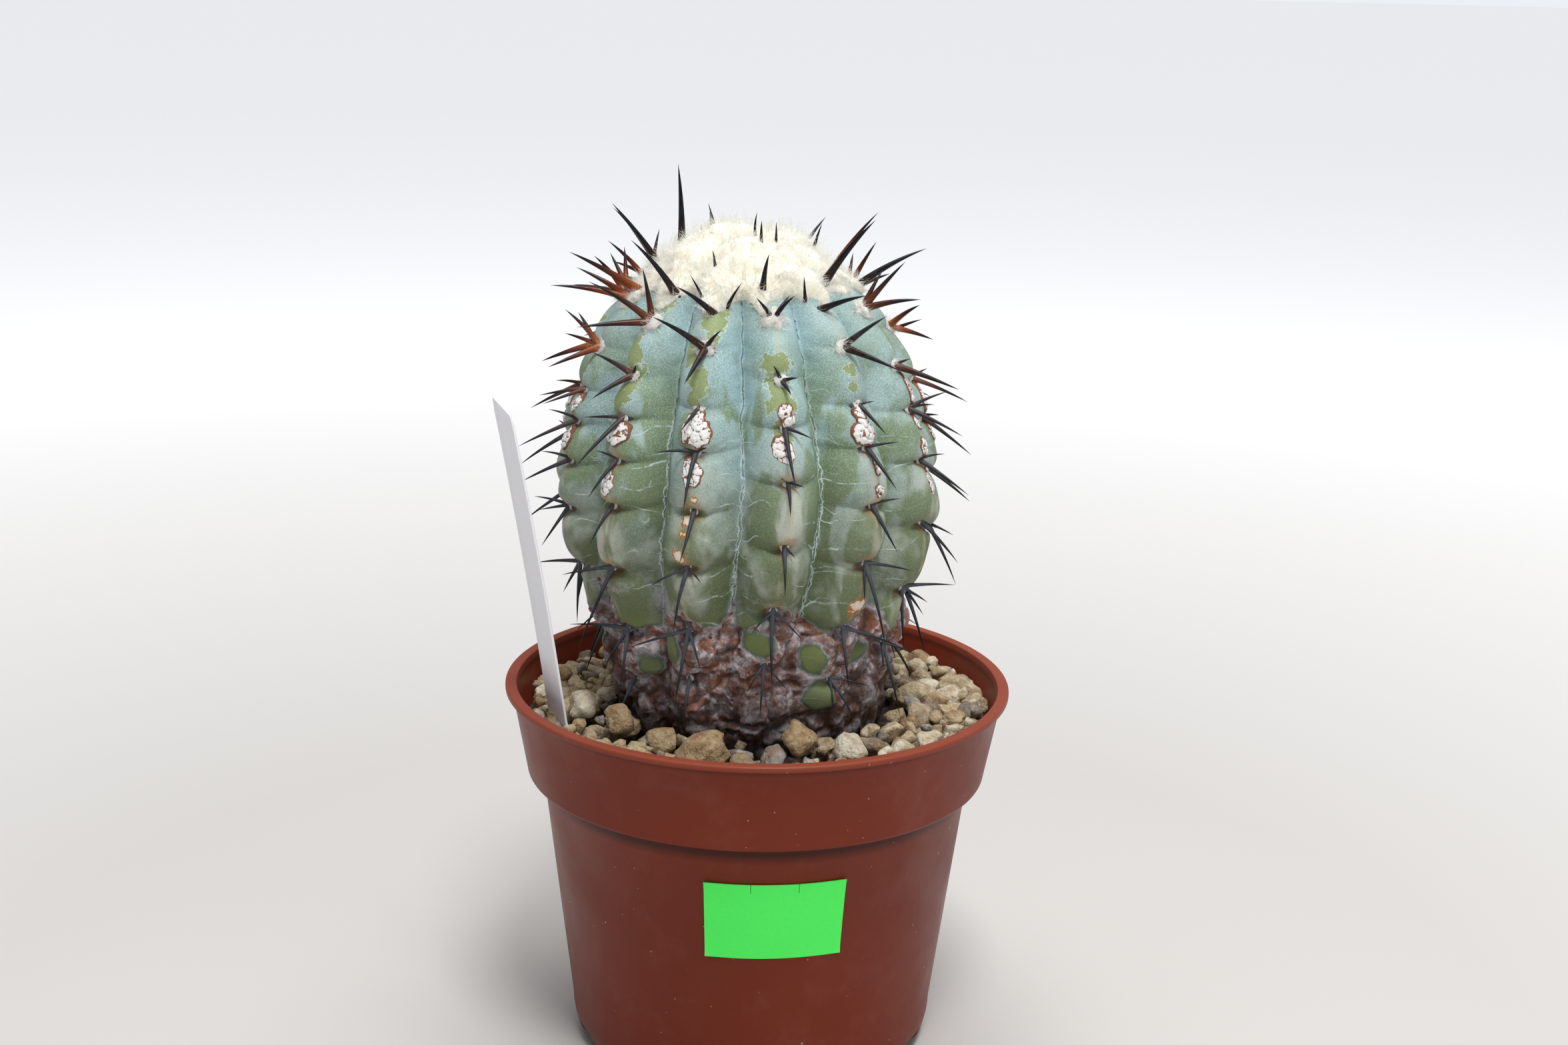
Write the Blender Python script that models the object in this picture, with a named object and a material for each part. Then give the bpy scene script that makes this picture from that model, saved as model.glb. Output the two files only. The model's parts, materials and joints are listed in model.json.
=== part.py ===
"""Copiapoa cactus in a plastic pot, with its soil, gravel, plant label and paper sticker.

Metres, +Z up. The origin is on the table, under the middle of the pot, and the front
faces -Y. The plant's tables are in millimetres, with heights above the pot's rim and
angles in degrees from the front towards +X.
"""

import math
import random

import bmesh
import bpy
from mathutils import Matrix, Vector, noise

MM = 0.001
GAP = 0.3 * MM

# The pot: a turned cup with a wide collar and a flat lip, and drain slots round its foot
RIM_HEIGHT = 89 * MM
LIP_RADIUS = 60 * MM
LIP_WIDTH = 2.4 * MM
LIP_THICKNESS = 1.5 * MM
COLLAR_TOP_RADIUS = 58.4 * MM
COLLAR_FOOT_RADIUS = 54.9 * MM
COLLAR_HEIGHT = 22 * MM
WALL_TOP_RADIUS = 51.2 * MM
WALL_FOOT_RADIUS = 44 * MM
FOOT_RADIUS = 40 * MM
FOOT_ROUND = 9 * MM
COLLAR_ROUND = 1.3 * MM
LIP_ROUND = 0.4 * MM
WALL = 1.4 * MM
FLOOR = 1.6 * MM
TURN_SEGMENTS = 40
DRAIN_SLOTS = 8
DRAIN_SIZE = (9 * MM, 7 * MM, 4.5 * MM)
DRAIN_TURN = 22.5

# What fills the pot
SOIL_TOP = RIM_HEIGHT - 15 * MM
BED_TOP = RIM_HEIGHT - 8.2 * MM
STONE_COUNT = 74
STONE_SIZE = (4.4 * MM, 6.2 * MM)
STONE_RING = (31 * MM, 50.2 * MM)
STONE_REACH = 55 * MM
STONE_LEVEL = (-0.8, 0.4)
STONE_TURN = math.radians(137.508)
STONE_DRIFT = 0.03
STONE_UNEVENNESS = (0.86, 1.1)
STONE_TIP = 0.4
STONE_DEPTH = (0.75, 0.95)
STONE_THICKNESS = (0.6, 0.75)
BIG_STONE = ((-11.5 * MM, -39.5 * MM, RIM_HEIGHT - 3 * MM), 6.6 * MM)

# The stem: crest radius and height up its side, from the buried end to under the wool
STEM_PROFILE = ((0, -24), (14, -23), (25, -18), (31, -8), (34.5, 8), (38.5, 23), (43.3, 36),
                (44.3, 47), (43, 59), (39, 73), (33, 86), (25, 94.5))
STEM_APEX = 98
STEM_ROWS = 24
LEAN = (-1.8, -0.0285)
RIBS = 13
RIB_ANGLE = -14.5
COLUMNS = (-0.37, -0.19, 0, 0.19, 0.37, 0.5)
GROOVE_DEPTH = ((-24, 0), (-6, 1.5), (8, 2.8), (18, 5), (32, 9), (76, 9.5), (88, 8), (98, 3))
RIB_ROUNDNESS = 0.8
TWIST = ((8, -8), (52, 0))
SCALLOP = ((-6, 0), (8, 1.8), (48, 1.9), (66, 1.2), (95, 0.6))
SCALLOP_ENDS = (110, -5)
SCALLOP_FULLNESS = 0.7
SCALLOP_LEVEL = 0.6
CORK = ((-6, 0), (3, 1.4), (17, 1.4), (27, 0))
CORK_SIZE = 9
HOLE_CLEARANCE = 0.45
HOLE_SEGMENTS = 32
HOLE_LEVEL = -8

# Areole heights of each kind of rib, and which kind each rib is from the front round;
# the wool hides those above UNDER_WOOL
ODD_RIB = (94, 85, 73, 64, 51.5, 38.5, 22.5, 10)
EVEN_RIB = (91, 79, 69.5, 58, 44, 28.5, 15)
SIDE_RIB = (92, 81.5, 72, 65, 56, 45, 31, 14)
LEFT_RIB = (89, 78, 69, 60, 50, 35, 19, 7)
RIB_KINDS = (ODD_RIB, EVEN_RIB, ODD_RIB, EVEN_RIB, ODD_RIB, EVEN_RIB, ODD_RIB,
             EVEN_RIB, ODD_RIB, EVEN_RIB, EVEN_RIB, SIDE_RIB, LEFT_RIB)
RIB_SHIFT = (0, 0, 0, 0, 0, 0, -2, 1, -1, 2, 0, 0, 0)
UNDER_WOOL = 93

# Spines seen from the front: for a rib and the number of its areole from the top, each
# spine's reach to the side, up the stem and out of it
FRONT_SPINES = {
    (12, 0): ((-10, 0, 13), (-4, 9, 7), (-9, -10, 10)),
    (12, 1): ((-6, 2, 8), (-2, -8, 8), (2, 2, 2)),
    (12, 2): ((-7, -2, 5), (-1, -13, 10)),
    (12, 3): ((-4, 1, 3), (0, -9, 7)),
    (12, 5): ((-10, -1, 7), (-6, -17, 10), (-2, -9, 7)),
    (12, 6): ((-13, 1, 7), (-4, -8, 6), (3, -11, 8)),
    (0, 1): ((-10, 3, 9), (4, 3, 4), (-1, -11, 7)),
    (0, 2): ((-2, -6, 5),),
    (0, 3): ((-8, -1, 4), (3, 1, 2), (1, -13, 9)),
    (0, 5): ((-7, -3, 5), (4, -2, 3), (-1, -12, 8)),
    (0, 6): ((-12, -2, 7), (-2, -15, 8), (4, -7, 5)),
    (1, 0): ((-4, 3, 4), (4, 2, 6), (4, 5, 2)),
    (1, 1): ((-2, 3, 2), (3, 0, 3), (1, -4, 4)),
    (1, 2): ((5, -3, 4), (0, -14, 8)),
    (1, 3): ((3, -1, 3), (-1, -7, 6), (-2, 1, 2)),
    (1, 4): ((2, -2, 2), (-1, -9, 7)),
    (1, 5): ((-5, -3, 4), (6, -4, 5), (0, -15, 8)),
    (1, 6): ((-1, -10, 6), (-4, -5, 4), (5, -5, 3)),
    (2, 1): ((8, 3, 8), (5, -10, 9)),
    (2, 2): ((3, 0, 2), (1, -8, 6)),
    (2, 3): ((6, 0, 4), (0, -10, 8)),
    (2, 4): ((5, 1, 4), (1, -10, 7)),
    (2, 5): ((9, -1, 6), (1, -17, 10), (-1, -8, 3)),
    (2, 6): ((12, -3, 7), (0, -12, 7)),
    (2, 7): ((8, -1, 5), (4, -8, 7), (0, -7, 4)),
    (3, 0): ((5, 4, 8), (6, 2, 13), (3, -7, 11)),
    (3, 1): ((3, 0, 3), (-1, -10, 13)),
    (3, 2): ((6, 1, 8), (4, -1, 5), (0, -9, 11)),
    (3, 3): ((4, 0, 5), (-1, -9, 11)),
    (3, 4): ((2, -9, 9), (3, -2, 3)),
    (3, 5): ((9, 3, 9), (6, -3, 4), (3, -15, 6)),
    (11, 0): ((-5, -3, 13), (-10, 5, 8), (-4, -3, 7), (-4, -10, 15)),
    (11, 1): ((-4, 4, 10), (-6, -1, 7), (3, -9, 10)),
    (11, 2): ((2, -6, 9), (-3, -5, 9)),
    (11, 3): ((-5, 0, 6), (0, -9, 12)),
    (11, 4): ((-3, -7, 10), (-5, 0, 6)),
    (11, 5): ((-6, 1, 7), (-5, -2, 6), (1, -9, 7)),
    (11, 6): ((-9, 1, 9), (-8, -8, 6), (-4, -15, 6)),
}

# Spines of the other areoles by age: reach to the side, up and out, for each number
# from the top, drawn within SPINE_SPREAD
SPINES_BY_AGE = (
    ((-7, 6, 10), (6, 2, 12), (0, -8, 11)),
    ((-8, 2, 8), (2, -10, 9)),
    ((5, 0, 5), (-1, -10, 10)),
    ((-6, 0, 5), (0, -12, 10)),
    ((1, -9, 9),),
    ((-8, -1, 6), (2, -13, 9)),
    ((-9, -2, 6), (7, -3, 6), (0, -13, 8)),
    ((1, -8, 7),),
)
SPINE_SPREAD = 0.18
SPINE_ROOT = 2.2
SPINE_RADIUS = (1.15, 0.85)
YOUNG_AREOLES = 2
SPINE_SLIMNESS = (0.45, 24)
SPINE_MIDDLE = 0.42
SPINE_TAPER = 0.72
SPINE_BOW = 0.045
SPINE_STRAIGHT = 8.5 * MM
SPINE_SIDES = 3
LOWEST_TIP = -3.5

# Crown spines: where each one leaves the wool, its reach, and its radius at the root
CROWN_SPINES = (
    ((-19.6, 3.2, 101), (-1, 1, 20), 1.2),
    ((-24.6, 1.7, 98), (-10.5, 0, 13), 0.9),
    ((-19.7, -19.1, 95), (-9.5, -4, 12), 1.0),
    ((-11, -26.6, 92), (-7.8, -6, 6.5), 0.9),
    ((-13.2, -23.2, 94), (-3, -2, 6), 0.5),
    ((-7.9, -25.2, 93.5), (3, -3, 5.5), 0.5),
    ((-0.5, -21.9, 96), (1.3, -4, 9), 1.0),
    ((-11, -16.5, 99.5), (-0.7, -1, 5), 0.55),
    ((-1.1, -10.3, 103), (0, -1, 7.5), 0.7),
    ((2.1, -8.1, 103.5), (0, -1, 6.5), 0.5),
    ((-2.6, -4.5, 106), (0.3, 0, 5.5), 0.5),
    ((-11.7, 1.8, 105), (-1.8, 0, 7.5), 0.6),
    ((10.3, 3, 101), (2.2, 0, 7.5), 0.6),
    ((8.9, -20, 94.5), (-0.4, -3, 5.5), 0.5),
    ((13.5, -10.7, 97.5), (10.5, -3, 14), 1.1),
    ((12.6, -20.7, 92.5), (9.5, -5, 4), 0.9),
    ((20.6, 3.2, 94), (16, 2, 9), 1.1),
)
BACK_CROWN_SPINES = (1, 2, 3, 4, 6, 9, 14, 15, 16)
BACK_TURN = 7

# The wool: height over its own radius, from the middle to the lobes on the crests
WOOL_DOME = ((0, 109.5), (6, 108.6), (12, 106), (17, 102.5), (21, 98.5), (25, 95), (29, 90))
WOOL_EDGE = (23, 29)
WOOL_RINGS = 7
WOOL_COLUMNS = 39
WOOL_LUMPS = 2
WOOL_LUMP_SIZE = 7
WOOL_FOOT = 84
WOOL_SKIRT = 0.7
WOOL_LEVEL = 100
WOOL_GAP = 0.4 * MM
NEAR_WOOL = 70

# The plant label: a plastic strip, its middle line in the photo's plane and its width
LABEL_BOTTOM = -46
LABEL_TOP = 69
LABEL_SECTIONS = 8
LABEL_FOOT = (-45.5, -20, -6)
LABEL_SLOPE = -0.142
LABEL_BEND = -0.00034
LABEL_WIDTH = (5.4, -11.9)
LABEL_CORNER_CUT = 1.6
LABEL_THICKNESS = 0.6 * MM

# The sticker: a paper patch bent round the pot's wall
STICKER_ANGLES = (-12, 25)
STICKER_HEIGHTS = (-31.5, -50.3)
STICKER_THICKNESS = 0.4 * MM
STICKER_COLUMNS = 12

SEED = 11


def clear_scene():
    """Remove whatever objects the file starts with."""
    for obj in list(bpy.data.objects):
        bpy.data.objects.remove(obj, do_unlink=True)


def to_linear(channel):
    """One sRGB channel, 0 to 255, as the linear value a shader takes."""
    value = channel / 255
    if value <= 0.04045:
        return value / 12.92
    return ((value + 0.055) / 1.055) ** 2.4


def material(name, colour, roughness):
    """A plain surface of an sRGB colour."""
    result = bpy.data.materials.new(name)
    result.use_nodes = True
    shader = result.node_tree.nodes["Principled BSDF"]
    shader.inputs["Base Color"].default_value = (*map(to_linear, colour), 1)
    shader.inputs["Roughness"].default_value = roughness
    shader.inputs["Metallic"].default_value = 0
    return result


def face_outwards(bm):
    """Turn the faces of one closed body outwards."""
    bmesh.ops.recalc_face_normals(bm, faces=bm.faces)
    if bm.calc_volume(signed=True) < 0:
        bmesh.ops.reverse_faces(bm, faces=bm.faces)


def add_object(name, bm, surface=None):
    """Turn a bmesh into a smooth-shaded object of the scene."""
    face_outwards(bm)
    mesh = bpy.data.meshes.new(name)
    bm.to_mesh(mesh)
    bm.free()
    mesh.shade_smooth()
    mesh.set_sharp_from_angle(angle=math.radians(35))
    if surface:
        mesh.materials.append(surface)
    obj = bpy.data.objects.new(name, mesh)
    bpy.context.scene.collection.objects.link(obj)
    return obj


def between(table, x):
    """Read a table of (x, value) pairs, straight between them and level past its ends."""
    if x <= table[0][0]:
        return table[0][1]
    for (x0, y0), (x1, y1) in zip(table, table[1:]):
        if x <= x1:
            return y0 + (y1 - y0) * (x - x0) / (x1 - x0)
    return table[-1][1]


def smooth_line(points, steps=12):
    """A Catmull-Rom line through 2-D points."""
    ends = [points[0], *points, points[-1]]
    line = []
    for before, start, end, after in zip(ends, ends[1:], ends[2:], ends[3:]):
        for step in range(steps):
            t = step / steps
            line.append(tuple(
                0.5 * (2 * b + (c - a) * t + (2 * a - 5 * b + 4 * c - d) * t ** 2
                       + (3 * b - a - 3 * c + d) * t ** 3)
                for a, b, c, d in zip(before, start, end, after)))
    line.append(tuple(points[-1]))
    return line


def even_points(line, count):
    """Points at even distances along a line, ends included."""
    lengths = [math.dist(a, b) for a, b in zip(line, line[1:])]
    stations = [0]
    for length in lengths:
        stations.append(stations[-1] + length)
    table = list(zip(stations, line))
    result = []
    for index in range(count):
        place = stations[-1] * index / (count - 1)
        result.append(tuple(between([(s, p[axis]) for s, p in table], place)
                            for axis in range(2)))
    return result


STEM_LINE = smooth_line(STEM_PROFILE)
RADIUS_BY_HEIGHT = [(height, radius) for radius, height in STEM_LINE]


def turned(name, profile, surface=None, segments=TURN_SEGMENTS, centre=(0, 0)):
    """Spin an outline of (radius, height) pairs, which starts and ends on the axis."""
    bm = bmesh.new()
    rings = []
    for radius, height in profile:
        if radius == 0:
            rings.append([bm.verts.new((*centre, height))] * segments)
            continue
        ring = []
        for index in range(segments):
            angle = 2 * math.pi * index / segments
            ring.append(bm.verts.new((centre[0] + radius * math.sin(angle),
                                      centre[1] - radius * math.cos(angle), height)))
        rings.append(ring)
    bridge(bm, rings)
    return add_object(name, bm, surface)


def bridge(bm, rings):
    """Skin closed rings of equal length; a ring that is one point makes a fan."""
    count = len(rings[0])
    for low, high in zip(rings, rings[1:]):
        for index in range(count):
            after = (index + 1) % count
            corners = []
            for vertex in (low[index], low[after], high[after], high[index]):
                if vertex not in corners:
                    corners.append(vertex)
            if len(corners) > 2:
                bm.faces.new(corners)


def apply_modifiers(obj):
    """Replace an object's mesh by what its modifiers make of it."""
    depsgraph = bpy.context.evaluated_depsgraph_get()
    mesh = bpy.data.meshes.new_from_object(obj.evaluated_get(depsgraph))
    obj.modifiers.clear()
    obj.data = mesh


def boolean(obj, operation, others, solver="EXACT"):
    """Join the other objects to this one, or cut them out of it, and remove them."""
    operands = bpy.data.collections.new(obj.name + "_operands")
    bpy.context.scene.collection.children.link(operands)
    for other in others:
        bpy.context.scene.collection.objects.unlink(other)
        operands.objects.link(other)
    modifier = obj.modifiers.new(operation.title(), "BOOLEAN")
    modifier.operation = operation
    modifier.solver = solver
    modifier.operand_type = "COLLECTION"
    modifier.collection = operands
    apply_modifiers(obj)
    for other in list(operands.objects):
        bpy.data.objects.remove(other, do_unlink=True)
    bpy.data.collections.remove(operands)


def keep_largest(obj):
    """Drop the loose scraps that a cut can leave beside the main body."""
    bm = bmesh.new()
    bm.from_mesh(obj.data)
    left = set(bm.verts)
    bodies = []
    while left:
        reached = [left.pop()]
        body = set(reached)
        while reached:
            for edge in reached.pop().link_edges:
                for vertex in edge.verts:
                    if vertex in left:
                        left.discard(vertex)
                        body.add(vertex)
                        reached.append(vertex)
        bodies.append(body)
    bodies.sort(key=len)
    for body in bodies[:-1]:
        bmesh.ops.delete(bm, geom=list(body), context="VERTS")
    bm.to_mesh(obj.data)
    bm.free()


def wall_radius(height):
    """Outer radius of the pot's wall at a height under the collar."""
    top = RIM_HEIGHT - COLLAR_HEIGHT
    share = (height - FOOT_ROUND) / (top - FOOT_ROUND)
    return WALL_FOOT_RADIUS + (WALL_TOP_RADIUS - WALL_FOOT_RADIUS) * share


def round_edge(radius, height, out, up, steps):
    """Outline points of a rounded lower edge, from level round to upright."""
    turns = [math.pi / 2 * step / steps for step in range(steps + 1)]
    return [(radius + out * math.sin(turn), height + up * (1 - math.cos(turn)))
            for turn in turns]


def pot_inside(inset):
    """The pot's inner outline from the floor's edge to the top of the collar."""
    step = RIM_HEIGHT - COLLAR_HEIGHT + WALL + inset
    shift = WALL + inset
    floor = FLOOR + inset
    return [*round_edge(FOOT_RADIUS - shift, floor, WALL_FOOT_RADIUS - FOOT_RADIUS,
                        FOOT_ROUND - floor, 2),
            (WALL_TOP_RADIUS - shift, step),
            (COLLAR_FOOT_RADIUS - shift, step),
            (COLLAR_TOP_RADIUS - shift, RIM_HEIGHT - LIP_THICKNESS)]


def pot_outside():
    """The pot's outer outline from the foot to the inner edge of the lip."""
    step = RIM_HEIGHT - COLLAR_HEIGHT
    under_lip = RIM_HEIGHT - LIP_THICKNESS
    return [*round_edge(FOOT_RADIUS, 0, WALL_FOOT_RADIUS - FOOT_RADIUS, FOOT_ROUND, 3),
            (WALL_TOP_RADIUS, step),
            *round_edge(COLLAR_FOOT_RADIUS - COLLAR_ROUND, step, COLLAR_ROUND, COLLAR_ROUND, 2),
            (COLLAR_TOP_RADIUS, under_lip),
            *round_edge(LIP_RADIUS - LIP_ROUND, under_lip, LIP_ROUND, LIP_ROUND, 1),
            (LIP_RADIUS, RIM_HEIGHT - LIP_ROUND),
            (LIP_RADIUS - LIP_ROUND, RIM_HEIGHT),
            (LIP_RADIUS - LIP_WIDTH, RIM_HEIGHT)]


def make_pot():
    """The plastic pot, with its drain slots cut through the foot's rounded edge."""
    inside = list(reversed(pot_inside(0)))
    profile = [(0, 0), *pot_outside(), *inside, (0, FLOOR)]
    pot = turned("pot", profile, material("pot_plastic", (138, 64, 48), 0.4))
    slots = []
    for index in range(DRAIN_SLOTS):
        bm = bmesh.new()
        bmesh.ops.create_cube(bm, size=1)
        width, depth, height = DRAIN_SIZE
        turn = Matrix.Rotation(math.radians(DRAIN_TURN) + 2 * math.pi * index / DRAIN_SLOTS, 4, "Z")
        place = Matrix.Translation((0, -FOOT_RADIUS - depth / 4, 0))
        bm.transform(turn @ place @ Matrix.Diagonal((width, 2 * depth, 2 * height, 1)))
        slots.append(add_object("drain_slot", bm))
    boolean(pot, "DIFFERENCE", slots)


def lean(height):
    """How far the stem's axis stands from the pot's at a height, in mm."""
    return LEAN[0] + LEAN[1] * height


def rib_heights(rib):
    """The heights of a rib's areoles, top first."""
    shift = RIB_SHIFT[rib % RIBS]
    top, *others = RIB_KINDS[rib % RIBS]
    return [top] + [height + shift for height in others]


def rib_angle(rib, height):
    """The angle of a place round the stem, counted in ribs, where the ribs twist low down."""
    return math.radians(RIB_ANGLE + rib * 360 / RIBS + between(TWIST, height))


def scallop(rib, height):
    """The swelling of a crest between two areoles, 0 at an areole and 1 halfway."""
    marks = [SCALLOP_ENDS[0], *rib_heights(rib), SCALLOP_ENDS[1]]
    for upper, lower in zip(marks, marks[1:]):
        if lower <= height <= upper:
            return math.sin(math.pi * (height - lower) / (upper - lower)) ** SCALLOP_FULLNESS
    return 0


def stem_radius(place, crest, height):
    """The stem's radius in mm at a place counted in ribs, for the crest radius there."""
    rib = math.floor(place + 0.5)
    aside = place - rib
    fullness = max(0, math.cos(math.pi * aside)) ** RIB_ROUNDNESS
    radius = crest - between(GROOVE_DEPTH, height) * (1 - fullness)
    radius += between(SCALLOP, height) * (scallop(rib, height) - SCALLOP_LEVEL) * fullness
    angle = rib_angle(place, height)
    spot = Vector((math.sin(angle) * crest, math.cos(angle) * crest, height)) / CORK_SIZE
    return radius + between(CORK, height) * noise.noise(spot)


def stem_point(place, crest, height):
    """A point of the stem's skin, in metres."""
    angle = rib_angle(place, height)
    radius = stem_radius(place, crest, height)
    return Vector((lean(height) + radius * math.sin(angle), -radius * math.cos(angle),
                   height)) * MM + Vector((0, 0, RIM_HEIGHT))


def stem_mesh():
    """The ribbed stem without its spines."""
    bm = bmesh.new()
    rows = even_points(STEM_LINE, STEM_ROWS)[1:]
    count = RIBS * len(COLUMNS)
    rings = [[bm.verts.new(stem_point(0, 0, STEM_PROFILE[0][1]))] * count]
    for crest, height in rows:
        rings.append([bm.verts.new(stem_point(rib + aside, crest, height))
                      for rib in range(RIBS) for aside in COLUMNS])
    rings.append([bm.verts.new(Vector((lean(STEM_APEX) * MM, 0, RIM_HEIGHT + STEM_APEX * MM)))]
                 * count)
    bridge(bm, rings)
    face_outwards(bm)
    return bm


def areole(rib, height):
    """An areole's place and its directions to the side, up the stem and out of it."""
    crest = between(RADIUS_BY_HEIGHT, height)
    step = 3
    below = between(RADIUS_BY_HEIGHT, height - step)
    above = between(RADIUS_BY_HEIGHT, height + step)
    angle = rib_angle(rib, height)
    side = Vector((math.cos(angle), math.sin(angle), 0))
    outward = Vector((math.sin(angle), -math.cos(angle), 0))
    up = (outward * (above - below) + Vector((0, 0, 2 * step))).normalized()
    return stem_point(rib, crest, height), side, up, side.cross(up)


def spine_mesh(root, reach, radius, grow=0):
    """One curved spine with few sides, from a sunk root to a sharp tip, in metres."""
    along = reach.normalized()
    across = along.cross(Vector((0, 0, 1))).normalized()
    over = across.cross(along)
    sunk = root - along * SPINE_ROOT * MM
    middle = root + reach * SPINE_MIDDLE + over * SPINE_BOW * reach.length
    bm = bmesh.new()
    rings = [[bm.verts.new(sunk)] * SPINE_SIDES]
    sections = [(sunk, radius + grow), (middle, radius * SPINE_TAPER + grow)]
    if reach.length < SPINE_STRAIGHT:
        del sections[1]
    for centre, width in sections:
        ring = []
        for index in range(SPINE_SIDES):
            angle = 2 * math.pi * (index + 0.25) / SPINE_SIDES
            ring.append(bm.verts.new(centre + (across * math.cos(angle)
                                               + over * math.sin(angle)) * width))
        rings.append(ring)
    rings.append([bm.verts.new(root + reach + along * grow * 2)] * SPINE_SIDES)
    bridge(bm, rings)
    return bm


def stem_spines():
    """Every spine of the stem as (root, reach, radius) in metres, top areoles first."""
    draw = random.Random(SEED)
    result = []
    for rib in range(RIBS):
        for number, height in enumerate(rib_heights(rib)):
            if height > UNDER_WOOL:
                continue
            root, side, up, out = areole(rib, height)
            if (rib, number) in FRONT_SPINES:
                reaches = FRONT_SPINES[rib, number]
                spread = 0
            else:
                reaches = SPINES_BY_AGE[number]
                spread = SPINE_SPREAD
            young, old = SPINE_RADIUS
            radius = (young if number < YOUNG_AREOLES else old) * MM
            for reach in reaches:
                parts = [part * (1 + draw.uniform(-spread, spread))
                         + draw.uniform(-1, 1) * spread * 5 for part in reach]
                vector = (side * parts[0] + up * parts[1] + out * parts[2]) * MM
                lowest = RIM_HEIGHT + LOWEST_TIP * MM
                vector.z = max(vector.z, lowest - root.z)
                slim = min(1, SPINE_SLIMNESS[0] + vector.length / MM / SPINE_SLIMNESS[1])
                result.append((root, vector, radius * slim))
    return result


def make_cactus(spines):
    """The green stem with the spines of its areoles grown into it."""
    skin = material("cactus_skin", (140, 165, 150), 0.6)
    stem = add_object("cactus_stem", stem_mesh(), skin)
    solids = [add_object("spine", spine_mesh(*spine)) for spine in spines]
    boolean(stem, "UNION", solids)
    keep_largest(stem)


def wool_mesh():
    """The crown's wool as a lumpy dome with a lobe on every crest, its skirt in the stem."""
    bm = bmesh.new()
    middle = lean(WOOL_LEVEL)
    rings = []
    inner, outer = WOOL_EDGE
    for ring_number in range(WOOL_RINGS + 1):
        share = ring_number / WOOL_RINGS
        ring = []
        for column in range(WOOL_COLUMNS):
            place = column * RIBS / WOOL_COLUMNS
            crest = 0.5 + 0.5 * math.cos(2 * math.pi * place)
            edge = inner + (outer - inner) * crest
            angle = rib_angle(place, WOOL_LEVEL)
            radius = share * edge
            height = between(WOOL_DOME, radius)
            spot = Vector((math.sin(angle) * radius, math.cos(angle) * radius, height))
            swell = WOOL_LUMPS * noise.noise(spot / WOOL_LUMP_SIZE)
            radius += swell * share
            height += swell * (1 - share / 2)
            ring.append(Vector((middle + radius * math.sin(angle), -radius * math.cos(angle),
                                height)) * MM + Vector((0, 0, RIM_HEIGHT)))
        rings.append(ring)
    top = bm.verts.new(rings[0][0])
    loops = [[top] * WOOL_COLUMNS] + [[bm.verts.new(p) for p in ring] for ring in rings[1:]]
    foot = Vector((middle, 0, WOOL_FOOT)) * MM + Vector((0, 0, RIM_HEIGHT))
    skirt = [bm.verts.new((*foot.xy.lerp(point.xy, WOOL_SKIRT), foot.z)) for point in rings[-1]]
    loops += [skirt, [bm.verts.new(foot)] * WOOL_COLUMNS]
    bridge(bm, loops)
    return bm


def crown_spines():
    """The spines that stand in the wool, as (root, reach, radius) in metres.

    Those at the back are front ones turned on by BACK_TURN ribs.
    """
    result = []
    middle = Vector((lean(WOOL_LEVEL), 0, 0))
    turn = Matrix.Rotation(math.tau * BACK_TURN / RIBS, 3, "Z")
    lift = Vector((0, 0, RIM_HEIGHT))
    for root, reach, radius in CROWN_SPINES:
        result.append((Vector(root) * MM + lift, Vector(reach) * MM, radius * MM))
    for number in BACK_CROWN_SPINES:
        root, reach, radius = CROWN_SPINES[number]
        turned_root = turn @ (Vector(root) - middle) + middle
        result.append((turned_root * MM + lift, turn @ Vector(reach) * MM, radius * MM))
    return result


def make_wool(spines):
    """The crown wool with its spines, cut to the stem below and clear of its spines."""
    wool = add_object("crown_wool", wool_mesh(), material("wool", (240, 234, 214), 0.95))
    solids = [add_object("crown_spine", spine_mesh(*spine)) for spine in crown_spines()]
    boolean(wool, "UNION", solids, "MANIFOLD")
    cutter = stem_mesh()
    for vertex in cutter.verts:
        vertex.co += vertex.normal * WOOL_GAP
    stem_cutter = add_object("stem_cutter", cutter)
    near = [spine for spine in spines if spine[0].z > RIM_HEIGHT + NEAR_WOOL * MM]
    thick = [add_object("spine_cutter", spine_mesh(*spine, grow=2 * GAP)) for spine in near]
    boolean(wool, "DIFFERENCE", [stem_cutter, *thick], "MANIFOLD")
    keep_largest(wool)


def stem_hole():
    """The plain hole that the stem stands in, a little wider than its crests."""
    outline = [(0, RIM_HEIGHT + (STEM_PROFILE[0][1] - HOLE_CLEARANCE) * MM)]
    for radius, height in STEM_LINE[3::5]:
        if height < 0:
            outline.append(((radius + HOLE_CLEARANCE) * MM,
                            RIM_HEIGHT + (height - HOLE_CLEARANCE) * MM))
    outline.append((outline[-1][0], RIM_HEIGHT))
    outline.append((0, RIM_HEIGHT))
    return turned("stem_hole", outline, segments=HOLE_SEGMENTS, centre=(lean(HOLE_LEVEL) * MM, 0))


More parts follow.
